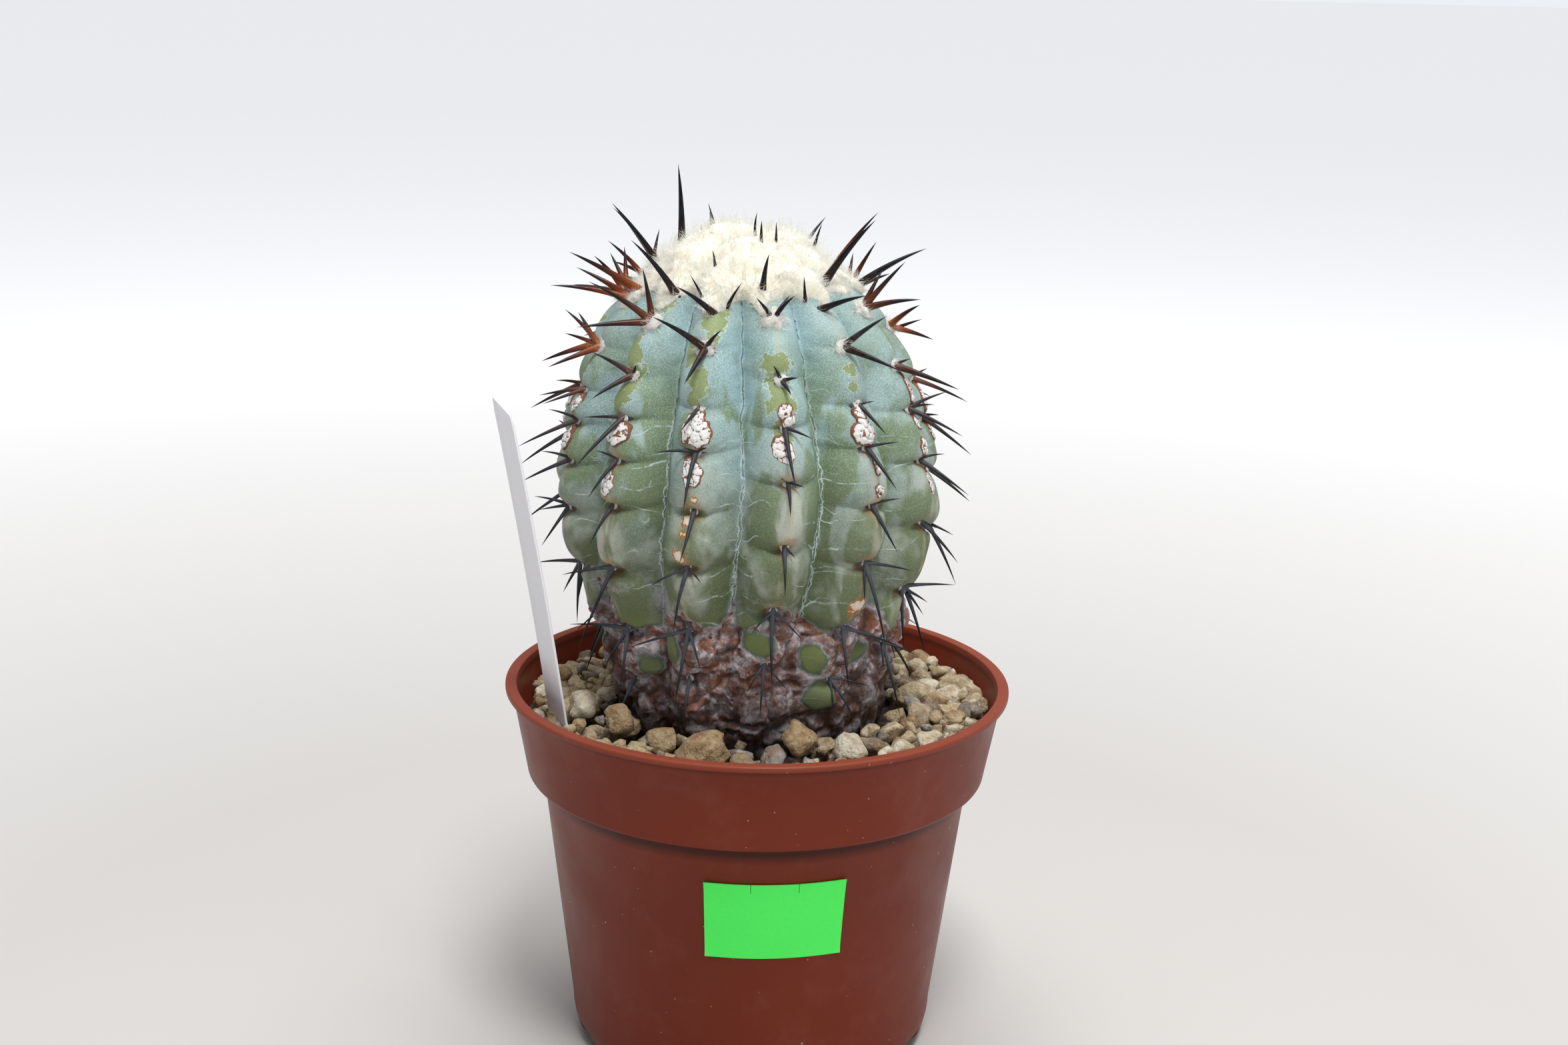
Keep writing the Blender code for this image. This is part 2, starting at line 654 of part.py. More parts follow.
def label_mesh(grow=0):
    """The bent strip, its top edge cut aslant; grow thickens it all round."""
    bm = bmesh.new()
    width = Vector((*LABEL_WIDTH, 0))
    face = Vector((LABEL_WIDTH[1], -LABEL_WIDTH[0], 0)).normalized()
    rings = []
    for section in range(LABEL_SECTIONS + 1):
        share = section / LABEL_SECTIONS
        height = LABEL_BOTTOM + (LABEL_TOP - LABEL_BOTTOM) * share
        above = height - LABEL_FOOT[2]
        bend = LABEL_BEND * above ** 2 if above > 0 else 0
        middle = Vector((LABEL_FOOT[0] + LABEL_SLOPE * above + bend, LABEL_FOOT[1], height))
        half = width / 2 + width.normalized() * grow / MM
        thick = face * (LABEL_THICKNESS / 2 + grow) / MM
        cut = LABEL_CORNER_CUT / 2 if section == LABEL_SECTIONS else 0
        if section == 0:
            middle.z -= grow / MM
        ring = []
        for across, through in ((1, 1), (1, -1), (-1, -1), (-1, 1)):
            point = middle + half * across + thick * through
            point.z -= cut * across
            ring.append(bm.verts.new(point * MM + Vector((0, 0, RIM_HEIGHT))))
        rings.append(ring)
    bridge(bm, rings)
    bm.faces.new(rings[0])
    bm.faces.new(rings[-1])
    return bm


def make_label():
    """The white plastic plant label."""
    add_object("plant_label", label_mesh(), material("label_plastic", (236, 236, 240), 0.45))


def make_soil():
    """The potting soil, with plain holes for the stem and the label."""
    inside = pot_inside(GAP)
    foot, collar = inside[-2], inside[-1]
    share = (SOIL_TOP - foot[1]) / (collar[1] - foot[1])
    brim = (foot[0] + (collar[0] - foot[0]) * share, SOIL_TOP)
    profile = [(0, inside[0][1]), *inside[:-1], brim, (0, SOIL_TOP)]
    soil = turned("soil", profile, material("potting_soil", (62, 50, 42), 0.95))
    boolean(soil, "DIFFERENCE", [stem_hole(), add_object("label_slot", label_mesh(GAP))])


def stone_mesh(draw, centre, size):
    """One rounded, uneven stone."""
    bm = bmesh.new()
    bmesh.ops.create_icosphere(bm, subdivisions=1, radius=size)
    for vertex in bm.verts:
        vertex.co *= draw.uniform(*STONE_UNEVENNESS)
    turn = Matrix.Rotation(draw.uniform(0, math.tau), 4, "Z")
    tip = Matrix.Rotation(draw.uniform(-STONE_TIP, STONE_TIP), 4, "X")
    squash = Matrix.Diagonal((1, draw.uniform(*STONE_DEPTH), draw.uniform(*STONE_THICKNESS), 1))
    bm.transform(Matrix.Translation(centre) @ turn @ tip @ squash)
    return bm


def make_gravel():
    """The gravel: a bed that fills the collar, with stones grown out of its top."""
    draw = random.Random(SEED)
    foot, collar = pot_inside(GAP)[-2:]
    low = SOIL_TOP + GAP
    brims = [(foot[0] + (collar[0] - foot[0]) * (height - foot[1]) / (collar[1] - foot[1]), height)
             for height in (low, BED_TOP)]
    surface = material("gravel_stone", (190, 172, 140), 0.85)
    gravel = turned("gravel", [(0, low), *brims, (0, BED_TOP)], surface)
    inner, outer = STONE_RING
    stones = []
    for index in range(STONE_COUNT):
        share = (index + 0.5) / STONE_COUNT
        radius = math.sqrt(inner ** 2 + (outer ** 2 - inner ** 2) * share)
        angle = index * STONE_TURN + draw.uniform(-STONE_DRIFT, STONE_DRIFT)
        size = min(draw.uniform(*STONE_SIZE), STONE_REACH - radius)
        centre = Vector((radius * math.sin(angle), -radius * math.cos(angle),
                         BED_TOP + draw.uniform(*STONE_LEVEL) * MM))
        stones.append(add_object("stone", stone_mesh(draw, centre, size)))
    place, size = BIG_STONE
    stones.append(add_object("big_stone", stone_mesh(draw, Vector(place), size)))
    boolean(gravel, "UNION", stones, "MANIFOLD")
    boolean(gravel, "DIFFERENCE", [stem_hole(), add_object("label_slot", label_mesh(GAP))],
            "MANIFOLD")
    keep_largest(gravel)


def make_sticker():
    """The paper sticker, bent to the wall's cone."""
    bm = bmesh.new()
    rings = []
    left, right = STICKER_ANGLES
    corners = [(height, depth) for height, depth in
               ((STICKER_HEIGHTS[1], 0), (STICKER_HEIGHTS[1], 1),
                (STICKER_HEIGHTS[0], 1), (STICKER_HEIGHTS[0], 0))]
    for column in range(STICKER_COLUMNS + 1):
        angle = math.radians(left + (right - left) * column / STICKER_COLUMNS)
        ring = []
        for height, depth in corners:
            z = RIM_HEIGHT + height * MM
            radius = wall_radius(z) + GAP + depth * STICKER_THICKNESS
            ring.append(bm.verts.new((radius * math.sin(angle), -radius * math.cos(angle), z)))
        rings.append(ring)
    bridge(bm, rings)
    bm.faces.new(rings[0])
    bm.faces.new(rings[-1])
    add_object("paper_sticker", bm, material("green_paper", (75, 239, 95), 0.7))


def main():
    """Build every piece."""
    clear_scene()
    spines = stem_spines()
    make_pot()
    make_soil()
    make_gravel()
    make_cactus(spines)
    make_wool(spines)
    make_label()
    make_sticker()


main()
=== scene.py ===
"""Copiapoa cactus in its nursery pot: its looks, built round the packed solids.

Metres, +Z up, the front faces -Y. The plant's tables are in millimetres, with heights above
the pot's rim and angles in degrees from the front towards +X.
"""

import json
import math
import random
from functools import partial

import bmesh
import bpy
import numpy as np
from bpy.props import FloatProperty, FloatVectorProperty, IntProperty, PointerProperty
from mathutils import Matrix, Vector, noise

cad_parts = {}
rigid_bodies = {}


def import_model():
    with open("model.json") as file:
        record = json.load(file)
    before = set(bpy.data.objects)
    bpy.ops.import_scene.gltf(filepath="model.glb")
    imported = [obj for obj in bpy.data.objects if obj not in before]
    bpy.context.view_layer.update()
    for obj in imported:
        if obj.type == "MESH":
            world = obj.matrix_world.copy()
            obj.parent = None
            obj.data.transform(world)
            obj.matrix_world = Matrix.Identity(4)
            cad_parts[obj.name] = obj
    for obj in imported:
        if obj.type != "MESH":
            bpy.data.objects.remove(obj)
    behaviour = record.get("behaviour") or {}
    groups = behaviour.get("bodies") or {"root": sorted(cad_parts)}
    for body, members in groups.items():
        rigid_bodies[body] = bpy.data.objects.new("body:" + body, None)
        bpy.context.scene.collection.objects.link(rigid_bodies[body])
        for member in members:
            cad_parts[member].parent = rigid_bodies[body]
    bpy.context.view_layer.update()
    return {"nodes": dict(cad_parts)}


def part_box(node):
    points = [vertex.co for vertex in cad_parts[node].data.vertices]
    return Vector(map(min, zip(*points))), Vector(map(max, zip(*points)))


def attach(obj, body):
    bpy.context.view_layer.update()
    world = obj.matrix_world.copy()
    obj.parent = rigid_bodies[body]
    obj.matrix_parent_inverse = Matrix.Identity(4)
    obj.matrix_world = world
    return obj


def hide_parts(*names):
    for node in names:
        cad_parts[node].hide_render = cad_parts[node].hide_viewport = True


bl_info = {
    "name": "Potted copiapoa",
    "version": (1, 0, 0),
    "blender": (4, 5, 0),
    "location": "3D View > Sidebar > Copiapoa",
    "description": "Builds the looks of a ribbed copiapoa cactus in its plastic nursery pot",
    "category": "Add Mesh",
}

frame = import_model()

MM = 0.001
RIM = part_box("pot")[1].z

# What a field holds where nothing of its kind is near: mm from a middle, and depth inside a patch
FAR = 9.0
OUTSIDE = -3.0

# The pot's outline, as radii and heights in millimetres
LIP_RADIUS = 60
LIP_WIDTH = 2.4
LIP_THICKNESS = 1.5
LIP_ROUND = 0.5
BRIM_ROUND = 0.3
COLLAR_TOP_RADIUS = 58.4
COLLAR_FOOT_RADIUS = 54.9
COLLAR_HEIGHT = 22
COLLAR_ROUND = 1.3
WALL_TOP_RADIUS = 51.2
WALL_FOOT_RADIUS = 44
FOOT_RADIUS = 40
FOOT_ROUND = 9
WALL = 1.4
FLOOR = 1.6
# How far below the rim the painted shade under the lip and the collar reaches, in metres
PAINTED_SHADE_DEPTH = 0.03
DRAIN_SLOTS = 8
DRAIN_SIZE = (9, 7, 4.5)
DRAIN_TURN = 22.5
SHARP_ANGLE = 40

# The stem's crest line, its ribs, and how they lean, twist and swell between areoles; SKIN_SWELL
# is the uneven swelling of the skin over height, in waves of SWELL_SIZE, and each areole stands in
# a dimple
STEM_PROFILE = ((0, -24), (14, -23), (25, -18), (31, -8), (34.5, 8), (38.5, 23), (43.3, 36),
                (44.3, 47), (43, 59), (39, 73), (33, 86), (25, 94.5))
STEM_APEX = 98
BURIED = -9
BURIED_ROWS = 8
LEAN = (-1.8, -0.0285)
RIBS = 13
RIB_ANGLE = -14.5
RIB_ROUNDNESS = 0.8
GROOVE_DEPTH = ((-24, 0), (-6, 1.5), (8, 2.8), (18, 5), (32, 9), (76, 9.5), (88, 8), (98, 3))
TWIST = ((8, -8), (52, 0))
SCALLOP = ((-6, 0), (8, 1.8), (48, 2.7), (66, 2.0), (95, 0.7))
SCALLOP_ENDS = (110, -5)
SCALLOP_FULLNESS = 0.7
SCALLOP_LEVEL = 0.6
DIMPLE_DEPTH = 0.45
DIMPLE_SIZE = 1.7
SKIN_SWELL = ((-6, 0), (3, 1.4), (17, 1.4), (27, 0.2), (34, 0.7), (70, 0.6), (95, 0.3))
SWELL_SIZE = 9

# Areole heights of each kind of rib, and which kind each rib is from the front round
ODD_RIB = (94, 85, 73, 64, 51.5, 38.5, 22.5, 10)
EVEN_RIB = (91, 79, 69.5, 58, 44, 28.5, 15)
SIDE_RIB = (92, 81.5, 72, 65, 56, 45, 31, 14)
LEFT_RIB = (89, 78, 69, 60, 50, 35, 19, 7)
RIB_KINDS = (ODD_RIB, EVEN_RIB, ODD_RIB, EVEN_RIB, ODD_RIB, EVEN_RIB, ODD_RIB,
             EVEN_RIB, ODD_RIB, EVEN_RIB, EVEN_RIB, SIDE_RIB, LEFT_RIB)
RIB_SHIFT = (0, 0, 0, 0, 0, 0, -2, 1, -1, 2, 0, 0, 0)
UNDER_WOOL = 93

# Folds that run from each areole to the grooves: depth and half width over height, how far below
# the areole they start and how they slope, wander and fade on their way. Their waves are full
# WAVES_FULL mm from the crest
FOLD_DEPTH = ((-5, 0.6), (15, 1.5), (28, 2.3), (42, 2.1), (60, 1.1), (80, 0.5), (95, 0))
FOLD_WIDTH = ((10, 1.3), (35, 1.1), (60, 0.8))
FOLD_DROP = 0.8
FOLD_SLOPE = 0.22
FOLD_WAVES = ((0.5, 0.75), (0.28, 1.9))
WAVES_FULL = 3
FOLD_REACH = 3.6
FOLD_END = 0.1

# How each tubercle's swelling sinks towards the areole under it, over height
CHIN = ((0, 1.0), (20, 0.62), (60, 0.66), (85, 1.0))

# How far the grooves stray to the side, as size and length of the waves, and how near to a groove;
# GROOVE_GAP parts the grooves in the UV map and GROOVE_SEED in the noise
GROOVE_STRAY = ((0.75, 5.5), (0.4, 1.9))
GROOVE_REACH = 2.6
GROOVE_SEED = 7.3
GROOVE_GAP = 40
GROOVE_SOFTNESS = 0.09

# Patches where the bloom has flaked off the crests: rib, height, side, half width, half height
FLAKES = (
    (0, 90, 1.2, 3.0, 4.6), (0, 84.5, -3.6, 2.0, 4.0), (0, 79, -0.4, 2.3, 4.2),
    (0, 74.5, -1.2, 1.5, 2.8), (1, 82.5, -0.8, 3.6, 2.4), (1, 76, -0.9, 3.4, 5.8),
    (1, 69.5, -0.4, 2.2, 4.0), (12, 94, 0.6, 2.2, 4.4), (12, 83, -1.6, 2.6, 3.6),
    (12, 78, 0.6, 2.6, 4.6), (12, 72, -2.0, 2.8, 3.4), (2, 80.5, -0.8, 1.6, 1.2),
    (2, 77, -1.2, 1.2, 1.0), (11, 87, -4, 2.8, 3.4), (11, 78, -1.5, 2.2, 4), (3, 85, 1.0, 1.6, 4.5),
    (4, 83, 0.5, 2.4, 5.0), (5, 76, 0, 2.2, 6), (6, 84, 0.8, 2.8, 5), (7, 80, -1, 2.4, 5.5),
    (8, 87, 0.5, 2.6, 4), (9, 77, 0.6, 2.5, 6), (10, 83, -0.5, 2.8, 5))

# Green tubercles left bare of cork near the base: rib, height, side, half width, half height. Up to
# ISLAND_TOP their edges are ragged in waves of ISLAND_GRAIN, in metres. CORK_AMOUNT is over height
ISLANDS = (
    (12, 24, 3.6, 6.5, 4.6), (12, 11, 6, 3.0, 3.4), (0, 31, 5, 7, 6), (1, 27, -5.6, 3.2, 3.0),
    (1, 20, -1.8, 4.2, 4.2), (0, 17, -5.5, 3.0, 4.2), (2, 29, -3, 7, 6), (2, 15.2, -6.0, 4.4, 4.4),
    (2, 6, -2.0, 4.6, 4.4), (2, 14, 8.4, 4.2, 3.6), (3, 24, 0, 7, 5), (3, 13, 5, 4, 4),
    (4, 27, 1, 7, 6), (5, 23, 0, 6, 5), (5, 11, -3, 4, 4), (6, 28, 0, 7, 6), (7, 22, 2, 6, 5),
    (8, 25, 0, 7, 5), (8, 9, 3, 4, 4), (9, 28, -2, 7, 6), (10, 21, 0, 6, 5), (11, 24, 0, 6, 5),
    (11, 11, -3, 4, 4))
ISLAND_TOP = 40
ISLAND_RAGGED = 0.55
ISLAND_GRAIN = 0.0048
ISLAND_CLEAR = 0.9
ISLAND_EDGE = (1.6, 0.3)
CORK_AMOUNT = ((-8, 1.0), (14, 1.0), (20, 0.86), (25, 0.62), (30, 0.36), (36, 0.0))

# Small healed scars on the crests: rib, height, side, radius
SCARS = (
    (0, 49.2, -0.8, 1.3), (0, 46.4, -1.1, 1.1), (0, 41.6, -1.6, 1.5), (0, 54.2, 0.6, 0.9),
    (2, 28.5, 0.4, 2.3), (3, 33, 1, 1.6), (5, 47, 0.6, 1.5), (7, 52, -1, 1.4), (8, 44, 0.8, 1.6),
    (10, 50, 0, 1.5))

# Chalky crusts above and below areoles: rib, areole number, side, up, half width, half height
CRUSTS = (
    (0, 3, -0.3, 4.4, 3.3, 3.4), (0, 3, 0.1, 6.8, 1.5, 2.5), (0, 3, -0.4, -4.2, 2.3, 3.2),
    (1, 2, 0.3, 2.8, 1.8, 2.7), (1, 2, -0.9, -4.6, 2.5, 2.8), (2, 3, -0.8, 3.4, 2.7, 3.2),
    (2, 3, -0.6, 6.6, 1.6, 2.5), (2, 3, 1.0, -3.9, 0.9, 2.2), (2, 4, 0.6, 3.2, 1.3, 1.4),
    (12, 2, -0.2, -3.4, 2.8, 2.6), (12, 3, -0.4, -4.9, 2.1, 3.1), (3, 2, 1.0, 4.0, 1.5, 3.2),
    (3, 2, 0.3, -2.8, 1.5, 1.6), (3, 3, -0.5, 3.2, 1.3, 1.9), (3, 3, 0.6, -4.6, 1.5, 3.0),
    (11, 2, 0.4, -3.0, 1.9, 2.4), (11, 3, 0, -4.0, 1.8, 2.7), (5, 2, 0, 3.6, 1.9, 2.8),
    (5, 3, 0.4, -4.0, 2.2, 2.6), (7, 2, 0, 3.4, 2.2, 3.0), (7, 3, -0.3, 3.2, 1.6, 2.2),
    (4, 3, 0, 4.2, 2.4, 3.4), (4, 3, 0.3, -3.8, 1.8, 2.4), (6, 3, 0, 3.8, 2.6, 3.2),
    (8, 3, 0.2, 4.0, 2.6, 3.2), (8, 3, 0, -4.2, 2.0, 2.8), (9, 2, 0, 3.4, 2.0, 2.8),
    (10, 2, 0.2, -3.6, 2.2, 2.8), (10, 3, 0, 3.0, 1.5, 2.0))

# How a crust breaks up: the size of its plates, how steeply their edges rise, their least height
# and how it differs, how much of the height lies under the cracks, and the fine bumps on top.
# CHALK_RIM is the share of its reach where the chalk ends and the brown rim begins
CRUST_RINGS = 11
CRUST_COLUMNS = 40
CRUST_PLATE = 1.7
CRUST_LIFT = 1.0
CRUST_RAGGED = ((1.2, 0.34), (3.1, 0.2))
CRUST_ROOT = 0.6
PLATE_STEEPNESS = 4
PLATE_HEIGHT = (0.35, 0.9)
CRUST_BED = 0.3
CRUST_BUMPS = 0.25
CRUST_FULLNESS = 0.4
CHALK_RIM = 0.93

# Spines seen from the front: for a rib and the number of its areole from the top, each
# spine's reach to the side, up the stem and out of it
FRONT_SPINES = {
    (12, 0): ((-10, 0, 13), (-4, 9, 7), (-9, -10, 10)),
    (12, 1): ((-6, 2, 8), (-2, -8, 8), (2, 2, 2)),
    (12, 2): ((-7, -2, 5), (-1, -13, 10)),
    (12, 3): ((-4, 1, 3), (0, -9, 7)),
    (12, 5): ((-10, -1, 7), (-6, -17, 10), (-2, -9, 7)),
    (12, 6): ((-13, 1, 7), (-4, -8, 6), (3, -11, 8)),
    (0, 1): ((-10, 3, 9), (4, 3, 4), (-1, -11, 7)),
    (0, 2): ((-2, -6, 5),),
    (0, 3): ((-8, -1, 4), (3, 1, 2), (1, -13, 9)),
    (0, 5): ((-7, -3, 5), (4, -2, 3), (-1, -12, 8)),
    (0, 6): ((-12, -2, 7), (-2, -15, 8), (4, -7, 5)),
    (1, 0): ((-4, 3, 4), (4, 2, 6), (4, 5, 2)),
    (1, 1): ((-2, 3, 2), (3, 0, 3), (1, -4, 4)),
    (1, 2): ((5, -3, 4), (0, -14, 8)),
    (1, 3): ((3, -1, 3), (-1, -7, 6), (-2, 1, 2)),
    (1, 4): ((2, -2, 2), (-1, -9, 7)),
    (1, 5): ((-5, -3, 4), (6, -4, 5), (0, -15, 8)),
    (1, 6): ((-1, -10, 6), (-4, -5, 4), (5, -5, 3)),
    (2, 1): ((8, 3, 8), (5, -10, 9)),
    (2, 2): ((3, 0, 2), (1, -8, 6)),
    (2, 3): ((6, 0, 4), (0, -10, 8)),
    (2, 4): ((5, 1, 4), (1, -10, 7)),
    (2, 5): ((9, -1, 6), (1, -17, 10), (-1, -8, 3)),
    (2, 6): ((12, -3, 7), (0, -12, 7)),
    (2, 7): ((8, -1, 5), (4, -8, 7), (0, -7, 4)),
    (3, 0): ((5, 4, 8), (6, 2, 13), (3, -7, 11)),
    (3, 1): ((3, 0, 3), (-1, -10, 13)),
    (3, 2): ((6, 1, 8), (4, -1, 5), (0, -9, 11)),
    (3, 3): ((4, 0, 5), (-1, -9, 11)),
    (3, 4): ((2, -9, 9), (3, -2, 3)),
    (3, 5): ((9, 3, 9), (6, -3, 4), (3, -15, 6)),
    (11, 0): ((-5, -3, 13), (-10, 5, 8), (-4, -3, 7), (-4, -10, 15)),
    (11, 1): ((-4, 4, 10), (-6, -1, 7), (3, -9, 10)),
    (11, 2): ((2, -6, 9), (-3, -5, 9)),
    (11, 3): ((-5, 0, 6), (0, -9, 12)),
    (11, 4): ((-3, -7, 10), (-5, 0, 6)),
    (11, 5): ((-6, 1, 7), (-5, -2, 6), (1, -9, 7)),
    (11, 6): ((-9, 1, 9), (-8, -8, 6), (-4, -15, 6)),
}

# Spines of the other areoles by age: reach to the side, up and out, for each number from the top,
# drawn within SPINE_SPREAD of its share and within SPREAD_MM of its size
SPINES_BY_AGE = (
    ((-7, 6, 10), (6, 2, 12), (0, -8, 11)),
    ((-8, 2, 8), (2, -10, 9)),
    ((5, 0, 5), (-1, -10, 10)),
    ((-6, 0, 5), (0, -12, 10)),
    ((1, -9, 9),),
    ((-8, -1, 6), (2, -13, 9)),
    ((-9, -2, 6), (7, -3, 6), (0, -13, 8)),
    ((1, -8, 7),),
)
SPINE_SPREAD = 0.18
SPREAD_MM = 5

# Spines: the depth of the root, the radius on young and older areoles, and how they thin, bow,
# stray and taper. SPINE_BULB is the level, size and fade of the swelling at the root, where a
# spine's points crowd a little. Age and backlit amber are read over height, and the amber also over
# the ribs counted from the front; the amber is partly the spines' own colour and partly painted light
# that shines through those at the sides and back
SPINE_ROOT = 2.2
SPINE_RADIUS = (1.04, 0.8)
YOUNG_AREOLES = 2
SPINE_SLIMNESS = (0.45, 24)
SPINE_BOW = 0.034
BOW_DRAW = (0.5, 1.3)
HANGING_BOW = 0.55
SPINE_STRAY = 0.02
SPINE_TAPER = 0.72
SPINE_BULB = (0.95, 0.2, 12)
THINNEST_TIP = 0.00002
SPINE_POINTS = 10
SPINE_CROWDING = 1.15
SPINE_AGE = ((16, 1.0), (34, 0.85), (48, 0.6), (62, 0.45), (78, 0.2), (90, 0.0))
LOWEST_TIP = -3.5
OLD_SPINE_SLIMNESS = 0.25
SPINE_BACKLIT_AMBER = ((0, 0.0), (1, 0.03), (2, 0.25), (3, 1.0))
BACKLIT_AMBER_FADE = ((62, 0.05), (74, 0.5), (84, 1.0))

# Crown spines: where each one leaves the wool, its reach, and its radius at the root. Those of the
# back are front ones turned on by BACK_TURN ribs
CROWN_SPINES = (
    ((-19.6, 3.2, 101), (-1, 1, 20), 1.2),
    ((-24.6, 1.7, 98), (-10.5, 0, 13), 0.9),
    ((-19.7, -19.1, 95), (-9.5, -4, 12), 1.0),
    ((-11, -26.6, 92), (-7.8, -6, 6.5), 0.9),
    ((-13.2, -23.2, 94), (-3, -2, 6), 0.5),
    ((-7.9, -25.2, 93.5), (3, -3, 5.5), 0.5),
    ((-0.5, -21.9, 96), (1.3, -4, 9), 1.0),
    ((-11, -16.5, 99.5), (-0.7, -1, 5), 0.55),
    ((-1.1, -10.3, 103), (0, -1, 7.5), 0.7),
    ((2.1, -8.1, 103.5), (0, -1, 6.5), 0.5),
    ((-2.6, -4.5, 106), (0.3, 0, 5.5), 0.5),
    ((-11.7, 1.8, 105), (-1.8, 0, 7.5), 0.6),
    ((10.3, 3, 101), (2.2, 0, 7.5), 0.6),
    ((8.9, -20, 94.5), (-0.4, -3, 5.5), 0.5),
    ((13.5, -10.7, 97.5), (10.5, -3, 14), 1.1),
    ((12.6, -20.7, 92.5), (9.5, -5, 4), 0.9),
    ((20.6, 3.2, 94), (16, 2, 9), 1.1),
)
BACK_CROWN_SPINES = (1, 2, 3, 4, 6, 9, 14, 15, 16)
BACK_TURN = 7
# The back crown spines' amber, partly painted light shining through them
BACK_BACKLIT_AMBER = 0.6

# The crown's wool: height over its own radius, and where it ends over grooves and crests.
WOOL_DOME = ((0, 107.2), (6, 106.4), (12, 104.3), (17, 101.4), (21, 98.2), (25, 94.6), (29, 89.4))
WOOL_EDGE = (22.5, 28.5)
WOOL_LEVEL = 100
WOOL_FOOT = 84
WOOL_SKIRT = 0.7
WOOL_RINGS = 56
WOOL_COLUMNS = 208
WOOL_HEM = 14
WOOL_HEM_THICKNESS = 2.4
WOOL_HEM_FUZZ = 0.6
WOOL_PUFFS = ((7, 2.0), (3.4, 1.0), (1.5, 0.2))
WOOL_RETREAT = (
    (0.0, 0.0), (2.2, 0.0), (3.0, 3.2), (4.0, 2.0), (6.0, 0.0), (11.0, 0.0), (12.2, 1.2),
    (13.0, 0.0))

# Tufts that stand out of the wool: middle, and half width and height of each
WOOL_TUFTS = (
    (-11, 3, 4.5, 3.2), (-3, -14, 5, 1.4), (-17, -9, 4, 1.6), (4, 4, 5, 1.2), (8, -15, 4, 1.2),
    (-12, 14, 5, 1.8), (9, 12, 5, 1.4))

# Felt on the areoles over height: half size of each pad and its depth, and the length and count
# of its fibres. Pads above PAD_FINE have finer faces
PAD_SIZE = ((10, 1.0), (45, 1.1), (60, 1.2), (72, 1.4), (80, 1.75), (86, 2.2), (92, 2.9))
PAD_FINE = 66
PAD_DEPTH = ((66, 0.4), (84, 0.6))
PAD_SINK = 0.08
PAD_TALL = 1.1
PAD_LUMPS = ((1.2, 0.34), (4, 0.3))
PAD_FUZZ = ((10, 0.3), (50, 0.34), (70, 0.5), (80, 0.9), (88, 1.3))
PAD_THICKNESS = ((20, 0.5), (50, 0.8), (70, 1.3), (80, 1.7), (92, 2.0))

# The gravel's bed between the stem and the pot, the kinds of stone, and what shapes them. The
# first kind is the block of BLOCK_FLATS, for the large tan stone in front. What a stone keeps free
# to the stem, the wall and the floor, with LEAN_ROOM for the stem's lean, is a share of its size
GRIT_LEVEL = -10.6
GRIT_DEPTH = 3
GRIT_RINGS = 44
GRIT_COLUMNS = 180
GRIT_INNER = 12
GRIT_MARGIN = 0.4
GRIT_TAPER = 0.985
GRIT_WAVES = ((1.7, 0.7, 0), (5, 0.8, 9))
STONE_FLOOR = -11.6
STONE_CEILING = -3.6
STONE_RING = (32.0, 56.0)
STONE_KINDS = 12
SMALL_KINDS = 5
STONE_FLATS = 11
FLAT_REACH = (0.5, 0.82)
FLATTENING = 0.93
STONE_SIZE = 1.14
STONE_DEPTH = 0.82
STONE_HEIGHT = 0.72
SMALL_STONE = 2.4
SIZE_FALL = 1.2
SIZE_DRAW = (0.62, 1.0)
BREADTH_DRAW = (0.8, 1.05)
HEIGHT_DRAW = (0.85, 1.15)
STONE_TILT = 0.5
BLOCK_TURN = 0.2
DROP_TRIES = 12
STEM_ROOM = 0.6
WALL_ROOM = 0.85
LEAN_ROOM = 0.55
FLOOR_ROOM = 0.5
STONE_TOUCH = 0.8
STONE_REST = 0.62
STONE_LUMPS = ((1.6, 0.22), (4, 0.1), (9, 0.07))
BLOCK_FLATS = tuple(((x, y, z), 0.8) for x, y, z in (
    (1, 0, 0), (-1, 0, 0), (0, 1, 0), (0, -1, 0), (0, 0, 1), (0, 0, -1), (0.7, 0, 0.7), (-0.7, 0, 0.7),
    (0.6, -0.5, 0.6), (-0.6, -0.5, 0.6), (0.7, 0.7, 0), (0.7, -0.7, 0), (-0.7, -0.7, 0)))

# Stones of their own place: middle, size and tone
SEEN_STONES = (
    ((-11.5, -40.5, -4.6), 6.0, 0.6), ((10.5, -38.5, -1.2), 5.2, 0.64),
    ((-21, -34, -4.0), 4.6, 0.66), ((-31, -26, -2.5), 4.2, 0.64), ((22, -36, -5.0), 5.0, 0.33),
    ((-3.0, -43, -6.0), 4.0, 0.5), ((4.5, -41, -5.6), 4.6, 0.9), ((-40, -14, -3.5), 5.2, 0.34))

# The plant label: a plastic strip, with its middle line, its slope and bend, and the way of its width
LABEL_BOTTOM = -46
LABEL_TOP = 69
LABEL_FOOT = (-45.5, -20, -6)
LABEL_SLOPE = -0.142
LABEL_BEND = -0.00034
LABEL_WIDTH = (5.4, -11.9)
LABEL_CORNER_CUT = 1.6
LABEL_THICKNESS = 0.6
LABEL_ROWS = 40
LABEL_SOFTNESS = 0.16
LABEL_SHARP_ANGLE = 50

# The sticker on the wall, with two slits in its upper edge. Its corners lift, and it waves a little
STICKER_ANGLES = (-12, 25)
STICKER_HEIGHTS = (-31.5, -50.3)
STICKER_GAP = 0.12
STICKER_THICKNESS = 0.22
STICKER_COLUMNS = 41
STICKER_ROWS = 16
CORNER_LIFT = (0.28, 1.3)
STICKER_WAVES = 0.05
STICKER_SLITS = (0.325, 0.66)
SLIT_LENGTH = 2.2
SLIT_WIDTH = 0.12

# The camera: a 50 mm lens on a 36 mm sensor, found from the rim's ellipse
CAMERA_PLACE = (5.43, -495.43, 168.57)
CAMERA_PITCH = 14.72
CAMERA_ROLL = 1.39
CAMERA_LENS = 50.0
SENSOR_WIDTH = 36.0

